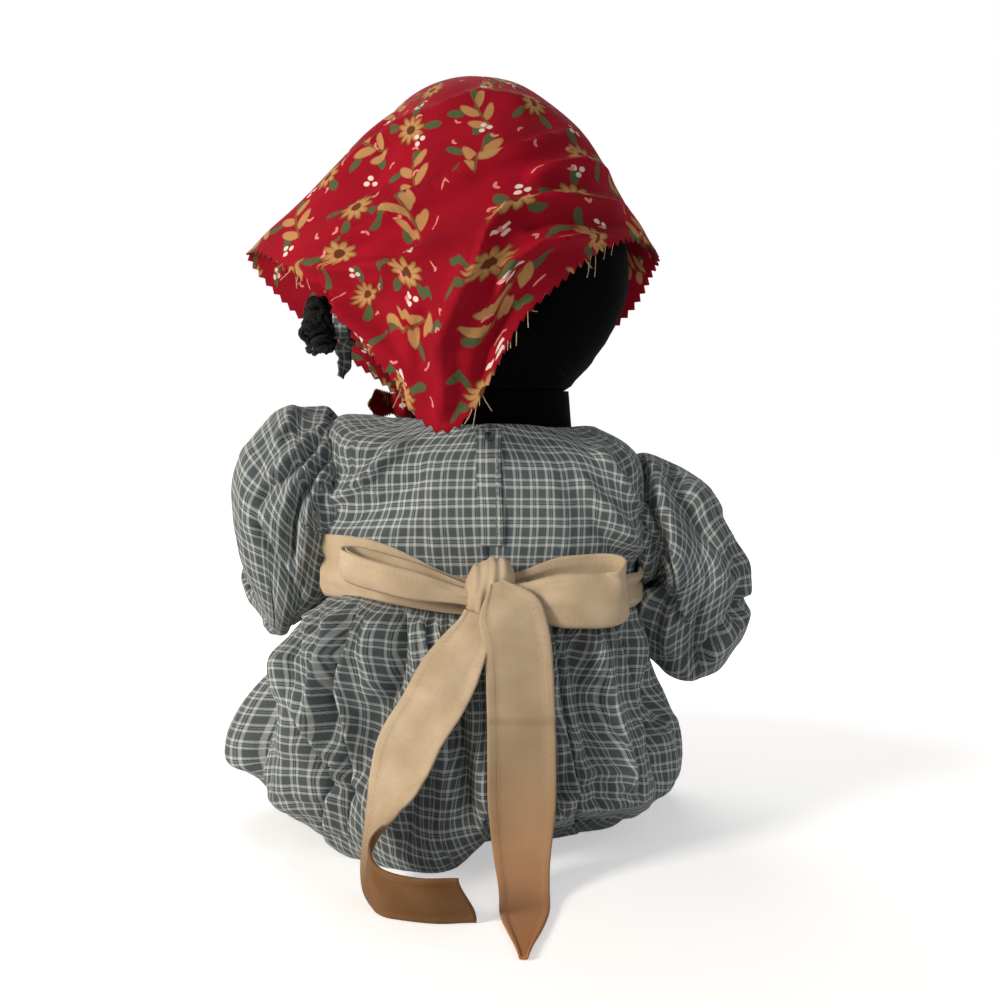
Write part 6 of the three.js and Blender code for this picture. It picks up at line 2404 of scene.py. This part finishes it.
@dataclass
class Arm(Assembly):
    """One arm in its sleeve.

    Attributes:
        name: Name of the side.
        side: 1 for the right and -1 for the left.
        bend: Degrees of the curve from the shoulder.
        fall: Degrees that the upper arm falls.
        puff: Radius of the sleeve's puff.
        lift: How far the puff is pushed up.
        droop: How far its lower end hangs toward the skirt.
        dent: How far its outer side is pressed in.
        hub: Across and height of the middle of the shoulder's curve.
        shoulder_round: Radius of that curve.
        elbow_round: Radius of the elbow's curve.
        elbow_end: Degrees at which the elbow's curve ends.
        forearm_length: From there to the wrist.
        hand_length: From the wrist to the end of the mitten.
    """

    name: str
    side: int
    bend: float
    fall: float
    puff: float
    lift: float
    droop: float = 0.0
    dent: float = 0.0
    hub: Pair = (62.9, 107.0)
    shoulder_round: float = 28.0
    elbow_round: float = 27.0
    elbow_end: float = 88.0
    forearm_length: float = 34.0
    hand_length: float = 34.0

    def root(self) -> Points:
        """Middle of the arm's sewn end, inside the body."""
        return np.array([self.side * ARM_ROOT, 0, SHOULDER])

    def shoulder(self, degrees: float) -> Points:
        """A point on the curve from the shoulder.

        Args:
            degrees: Angle along the curve.

        Returns:
            The point.
        """
        turn = math.radians(degrees)
        arc = np.array([self.side * math.sin(turn), 0, math.cos(turn)])
        return np.array([self.side * self.hub[0], 0, self.hub[1]]) + self.shoulder_round * arc

    def down(self) -> Points:
        """Direction of the upper arm."""
        turn = math.radians(self.fall)
        return np.array([self.side * math.cos(turn), 0, -math.sin(turn)])

    def elbow(self, degrees: float) -> Points:
        """A point on the curve of the elbow.

        Args:
            degrees: Angle along the curve.

        Returns:
            The point.
        """
        turn = math.radians(degrees)
        arc = self.down() * math.sin(turn) + np.array([0, 1 - math.cos(turn), 0])
        return self.shoulder(self.bend) + self.elbow_round * arc

    def reach(self) -> Points:
        """Direction of the forearm."""
        return unit(np.array([-self.side * 0.42, 0.9, -0.06]))

    def wrist(self) -> Points:
        """Middle of the wrist."""
        return self.elbow(self.elbow_end) + self.forearm_length * self.reach()

    def axis(self) -> Points:
        """Axis that the elbow bends about."""
        return np.cross(self.down(), np.array([0.0, 1.0, 0.0]))

    def limb(
        self, points: Sequence[Points], sizes: Sequence[tuple[float, float, float]], straight: float
    ) -> Points:
        """Grid of a stuffed piece.

        Args:
            points: Points of its curve.
            sizes: Place along the curve, half width and half thickness.
            straight: Place after which its rings stand square to the forearm.

        Returns:
            Grid (rows, columns, 3).
        """
        line = np.array(points)
        place, wide, thick = catmull(np.array(sizes), np.linspace(0, 1, 44)).T
        place = np.clip(place, 0, 1)
        middle = catmull(line, place)
        ahead = self.slope(line, place)
        ahead = np.where((place > straight)[:, None], self.reach()[None], ahead)
        broad = unit(self.axis()[None] - ahead * (ahead @ self.axis())[:, None])
        deep = np.cross(ahead, broad)
        turn = angles(36)
        return (
            middle[:, None]
            + broad[:, None] * ((wide - COVER)[:, None] * np.cos(turn))[..., None]
            + deep[:, None] * ((thick - COVER)[:, None] * np.sin(turn))[..., None]
        )

    def slope(self, line: Points, place: Points) -> Points:
        """Directions of a curve.

        Args:
            line: Points (m, 3) that the curve goes through.
            place: Places (n) of 0 to 1.

        Returns:
            Directions (n, 3).
        """
        step = 0.01
        after, before = np.minimum(place + step, 1), np.maximum(place - step, 0)
        return unit(catmull(line, after) - catmull(line, before))

    def build(self) -> None:
        """Makes the upper arm, the forearm with its hand, the sleeve and its cuff."""
        curve = [self.root(), *(self.shoulder(self.bend * share) for share in (0, 0.5, 1))]
        curve += [self.elbow(22), self.elbow(45)]
        sizes = [
            (0, 12.5, 12.5), (0.2, 13.5, 13.5), (0.45, 13.5, 13.5),
            (0.68, 13.5, 10.8), (0.86, 12.5, 5.4), (1, 11.5, 2.0),
        ]
        arm = f"upper_arm_{self.name}"
        upper = sew(arm, [shut(self.limb(curve, sizes, 2.0))])
        nodes = [f"upper_arm_skin_{self.name}", f"upper_arm_filling_{self.name}"]
        dress(upper, self.finishes.velvet, arm, nodes)
        self.forearm()
        self.sleeve()

    def forearm(self) -> None:
        """Makes the forearm with a mitten hand."""
        reach, wrist = self.reach(), self.wrist()
        curve = [*(self.elbow(turn) for turn in (45, 68, self.elbow_end)), wrist]
        curve += [wrist + self.hand_length * reach]
        sizes = [
            (0, 11.5, 4.0), (0.14, 12.5, 6.7), (0.3, 12.5, 11.6), (0.52, 11.5, 11.5),
            (0.75, 10, 10), (0.84, 12.3, 8), (0.94, 13, 8), (1, 7.2, 4.4),
        ]
        hand = shut(self.limb(curve, sizes, 0.7))
        t = np.linspace(0, 1, 22)
        base = wrist + reach * self.hand_length * 0.56 - self.axis() * self.side * 13 * 0.62
        path = base + unit(reach + 0.9 * UP) * (-9.5 + 20.0 * t)[:, None]
        thumb = strand(path, 4.7 * np.sqrt(np.clip(1 - np.abs(2 * t - 1) ** 3.2, 0.05, 1)), 20)
        arm = f"forearm_{self.name}"
        piece = sew(arm, [hand, thumb])
        nodes = [f"forearm_skin_{self.name}", f"forearm_filling_{self.name}"]
        dress(piece, self.finishes.velvet, arm, nodes)

    def creases(self) -> list[Crease]:
        """The folds of the sleeve's back.

        Returns:
            The folds, drawn in the photograph's view.
        """
        if self.side > 0:
            return [
                Crease(
                    [(643, 458), (655, 503), (667, 537), (675, 572), (678, 605), (693, 632)],
                    0.0, 10, 6.0,
                ),
                Crease([(650, 458), (664, 500), (676, 547), (686, 590)], 3.0, 7),
                Crease([(662, 462), (684, 510), (704, 560), (716, 590)], -3.0, 8),
                Crease([(684, 474), (706, 520), (724, 556)], 2.6, 8),
                Crease([(653, 536), (660, 575), (662, 610)], -5.0, 6),
                Crease([(642, 566), (648, 596), (644, 624)], 4.0, 6),
                Crease([(673, 600), (668, 628), (668, 658)], 3.2, 6),
                Crease([(696, 606), (693, 640), (690, 662)], -3.0, 7),
                Crease(
                    [(746, 576), (743, 606), (733, 622), (722, 638), (706, 656), (692, 666), (656, 664)],
                    0.0, 9, 5.0,
                ),
                Crease([(726, 538), (738, 556), (733, 580)], -3.0, 5),
            ]
        return [
            Crease([(334, 428), (310, 442), (285, 463), (258, 490)], 4.6, 7),
            Crease([(330, 440), (297, 464), (268, 488), (258, 508)], -5.0, 7),
            Crease([(334, 438), (313, 458), (298, 480), (282, 506)], 4.4, 5),
            Crease([(330, 452), (313, 476), (303, 500)], -5.0, 5),
            Crease([(330, 464), (314, 486), (304, 506)], 2.6, 4),
            Crease([(328, 480), (316, 496), (306, 512)], 2.6, 4),
            Crease([(306, 494), (299, 522), (298, 560)], 0.0, 7, 6.0),
            Crease([(310, 504), (306, 540), (296, 574)], 3.0, 7),
            Crease([(258, 516), (277, 553), (304, 592)], 0.0, 10, 4.0),
            Crease([(252, 440), (246, 490), (252, 545)], 2.6, 9),
            Crease([(276, 412), (262, 450), (256, 500)], -2.4, 9),
            Crease([(300, 404), (288, 424), (276, 452)], 2.4, 8),
        ]

    def tube(self) -> tuple[Points, Points]:
        """Sleeve before its folds.

        Returns:
            Grid (rows, columns, 3) and the share along the sleeve of each row.
        """
        bends = (22, 45, 68, self.elbow_end)
        line = np.array([
            self.root(), *(self.shoulder(self.bend * share) for share in (0, 0.5, 1)),
            *(self.elbow(turn) for turn in bends), self.wrist(),
        ])
        puff, lift, droop = self.puff, self.lift, self.droop
        full = (puff - 22.0) / 14.0
        stations = np.array([
            (0.03, 21.3, 1, 0, 0), (0.10, 21.6, 1, 0, 0), (0.13, 22.6 + 6.5 * full, 1, 0.45 * lift, 0.1),
            (0.16, 23.5 + 10 * full, 0.98, 0.62 * lift, 0.25), (0.22, 0.985 * puff, 0.95, 0.72 * lift, 0.42),
            (0.3, puff, 0.94, lift, 0.6), (0.35, puff, 0.9, 0.95 * lift, 0.8),
            (0.41, puff, 0.8, 0.75 * lift, 1), (0.54, 26.0 + 0.5 * droop, 0.78, 0, 1),
            (0.67, 25.5 + 0.4 * droop, 0.76, 0, 1), (0.8, 23, 0.76, 0, 1), (0.91, 20, 0.86, 0, 1),
            (1, 14, 1, 0, 1),
        ])
        rows, cols = 84, 128
        t, radius, flat, raised, turned = catmull(stations, np.linspace(0, 1, rows)).T
        t, turned = np.clip(t, 0, 1), np.clip(turned, 0, 1)
        out = np.array([self.side, 0.0, 0.0])
        slope = self.slope(line, t)
        ahead = unit(out * (1 - turned)[:, None] + slope * turned[:, None])
        lean = out + UP * (1 - ease(turned, 0.0, 0.35))[:, None]
        lean = np.where((turned < 0.02)[:, None], UP, lean)
        second = unit(lean - ahead * (lean * ahead).sum(-1, keepdims=True))
        first = np.cross(second, ahead)
        middle = catmull(line, t) + UP * raised[:, None]
        middle[:, 0] -= self.side * droop * ease(t, 0.3, 0.58) * (1 - ease(t, 0.66, 0.95))
        angle = angles(cols)
        # The left sleeve lies flat against the skirt on its inner side.
        under = ease(-self.side * np.cos(angle), -0.3, 1.0)
        inside = ease(t, 0.5, 0.66) * (1 - ease(t, 0.86, 1))
        narrow = 1 - (0.62 if self.side < 0 else 0.0) * under[None] * inside[:, None]
        grid = (
            middle[:, None]
            + first[:, None] * (radius[:, None] * np.cos(angle))[..., None]
            + second[:, None] * ((radius * flat)[:, None] * np.sin(angle) * narrow)[..., None]
        )
        pressed = hump(grid[..., 2], 134, 12) * ease(self.side * grid[..., 0], 72, 102)
        grid[..., 0] -= self.side * self.dent * pressed
        return grid, np.linspace(0, 1, rows)

    def sleeve(self) -> None:
        """Makes the gathered sleeve and its cuff."""
        grid, share = self.tube()
        cols = grid.shape[1]
        angle = angles(cols)[None]
        out = normals(grid, True)
        inner = unit(grid - grid.mean(1, keepdims=True))
        out = out * np.sign((out * inner).sum(-1, keepdims=True))
        cap = (hump(share, 0.2, 0.1) * ease(share, 0.08, 0.16))[:, None]
        cuff = ease(share, 0.82, 0.98)[:, None]
        body = (ease(share, 0.1, 0.3) * (1 - ease(share, 0.85, 1.0)))[:, None]
        gather = (np.abs(np.cos(9 * angle + 1.2 * np.sin(3 * angle))) - 0.6) * cap * 1.2
        drawn = (np.abs(np.cos(10 * angle + 0.7 * np.sin(2 * angle))) - 0.6) * cuff * 2.0
        broad = np.abs(np.cos(3.5 * angle + 5 * share[:, None] + 0.6 * np.sin(2 * angle))) - 0.6
        lift = gather + drawn + broad * 1.2 * body + ripple(grid, 34.0, 61 + self.side) * body
        grid = grid + out * lift[..., None]
        still = np.maximum(1 - ease(share, 0.1, 0.17), ease(share, 0.93, 0.98))[:, None]
        hold = np.maximum(still, 0.1)
        grid = finer(settled(grid, hold, slack=0.025, stiff=1.2, swell=0.5, most=4.0), True)
        grid = folded(grid, self.creases(), True, unit(grid - grid.mean(1, keepdims=True)))
        run = np.linspace(0, 190.0, 2 * cols + 1)
        along = closed(evened(lengths(grid, 0), 8.0))
        cut = flat_places(run[None], 0.5 * along + 0.5 * along.mean(1, keepdims=True))
        piece = sew(f"sleeve_cloth_{self.name}", [Patch(grid, cut, wrap=True)])
        dress(piece, self.finishes.plaid, None, [f"sleeve_{self.name}"], thick=PLAID_THICK)
        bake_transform(piece)
        self.cuff()

    def cuff(self) -> None:
        """Makes the narrow band at the wrist."""
        reach, wrist = self.reach(), self.wrist()
        across = unit(np.cross(reach, UP))
        up = np.cross(across, reach)
        turn = angles(72)
        rows = np.linspace(-2.0, 7.6, 12)
        radius = 13.4 + 0.7 * np.sin(math.pi * (rows + 2) / 9.6)[:, None] + 0.3 * np.sin(9 * turn)[None]
        ring = around(across, up, turn)
        grid = wrist + reach * rows[:, None, None] + ring[None] * radius[..., None]
        piece = sew(f"cuff_{self.name}", [Patch(grid, wrap=True)])
        arm = f"forearm_{self.name}"
        dress(piece, self.finishes.plaid, arm, [f"sleeve_cuff_{self.name}"], thick=0.9)


# ---------------------------------------------------------------- studio


@dataclass
class Studio:
    """Pale floor, soft light and the camera.

    Attributes:
        floor: Half the size of the floor in metres.
        ambient: Light from all round.
    """

    floor: float = 6.0
    ambient: float = 0.22

    def build(self) -> None:
        """Makes the floor, the lamps, the world and the camera."""
        self.camera()
        self.ground()
        self.lamp("key", (-0.98, -0.8, 0.55), 0.36, 15.5, (1.0, 0.93, 0.84))
        self.lamp("fill", (0.7, -1.0, 0.6), 1.0, 2.5, (0.92, 0.96, 1.0))
        self.lamp("front", (-0.2, 0.9, 1.0), 0.9, 8.0, (1.0, 0.97, 0.93))
        self.sky()

    def camera(self) -> None:
        """Places the camera."""
        data = bpy.data.cameras.new("camera")
        data.sensor_width = 36.0
        data.lens = SIGHT.focal * data.sensor_width / SIGHT.size
        data.clip_start = 0.01
        eye = bpy.data.objects.new("camera", data)
        eye.location = (SIGHT.x * MM, SIGHT.y * MM, SIGHT.z * MM)
        eye.rotation_euler = (math.radians(90 - SIGHT.pitch), 0, 0)
        bpy.context.scene.collection.objects.link(eye)
        bpy.context.scene.camera = eye

    def ground(self) -> None:
        """Makes the floor, white to the camera where nothing shades it."""
        mesh = bpy.data.meshes.new("floor")
        f = self.floor
        mesh.from_pydata([(-f, -f, 0), (f, -f, 0), (f, f, 0), (-f, f, 0)], [], [(0, 1, 2, 3)])
        ground = bpy.data.objects.new("floor", mesh)
        bpy.context.scene.collection.objects.link(ground)
        g = Graph("pale_floor")
        g.shader.inputs["Base Color"].default_value = (0.86, 0.855, 0.85, 1)
        g.shader.inputs["Roughness"].default_value = 0.9
        g.shader.inputs["Specular IOR Level"].default_value = 0.1
        direct = g.direct()
        g.shader.inputs["Emission Color"].default_value = (1, 1, 1, 1)
        place = g.node("ShaderNodeTexCoord").outputs["Object"]
        away = g.node("ShaderNodeVectorMath", place, operation="LENGTH").outputs["Value"]
        glow = g.math("MULTIPLY", direct, g.reach(away, 0.25, 0.6, 0.45, 1.0))
        g.feed(g.shader.inputs["Emission Strength"], glow)
        mesh.materials.append(g.material)

    def lamp(
        self,
        name: str,
        at: tuple[float, float, float],
        size: float,
        power: float,
        colour: tuple[float, float, float],
    ) -> None:
        """Hangs one soft lamp that looks at the doll.

        Args:
            name: Its name.
            at: Its place in metres.
            size: Its side.
            power: Its power in watts.
            colour: Its colour.
        """
        data = bpy.data.lights.new(name, "AREA")
        data.size = size
        data.energy = power
        data.color = colour
        lamp = bpy.data.objects.new(name, data)
        away = np.array(at) - np.array([0, 0, 0.15])
        flat = math.hypot(away[0], away[1])
        lamp.location = at
        lamp.rotation_euler = (math.atan2(flat, away[2]), 0, math.atan2(away[0], -away[1]))
        bpy.context.scene.collection.objects.link(lamp)

    def sky(self) -> None:
        """Lights the world softly and shows it white."""
        g = Graph("studio", world=True)
        bpy.context.scene.world = g.material
        g.feed(g.shader.inputs["Strength"], g.reach(g.direct(), 0.0, 1.0, self.ambient, 1.0))
        g.shader.inputs["Color"].default_value = (1.0, 1.0, 1.0, 1)
        bpy.context.scene.view_settings.view_transform = "Standard"


def corners(box: Sequence[Sequence[float]]) -> list[list[float]]:
    """A box as plain lists."""
    return [[float(v) for v in corner] for corner in box]


def main() -> None:
    """Builds the studio and every sub-assembly in order."""
    Studio().build()
    finishes = Finishes()
    Body(finishes).build()
    Bodice(finishes).build()
    skirt = Skirt(finishes)
    skirt.build()
    Apron(finishes).build(skirt)
    right = Arm(finishes, "right", 1, bend=76.0, fall=80.0, puff=27.0, lift=0.0, droop=7.0, dent=6.5)
    left = Arm(finishes, "left", -1, bend=40.0, fall=62.0, puff=36.0, lift=18.0)
    for arm in (right, left):
        arm.build()
    Head(finishes).build()
    Kerchief(finishes).build()
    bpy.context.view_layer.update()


if __name__ == "__main__":
    main()
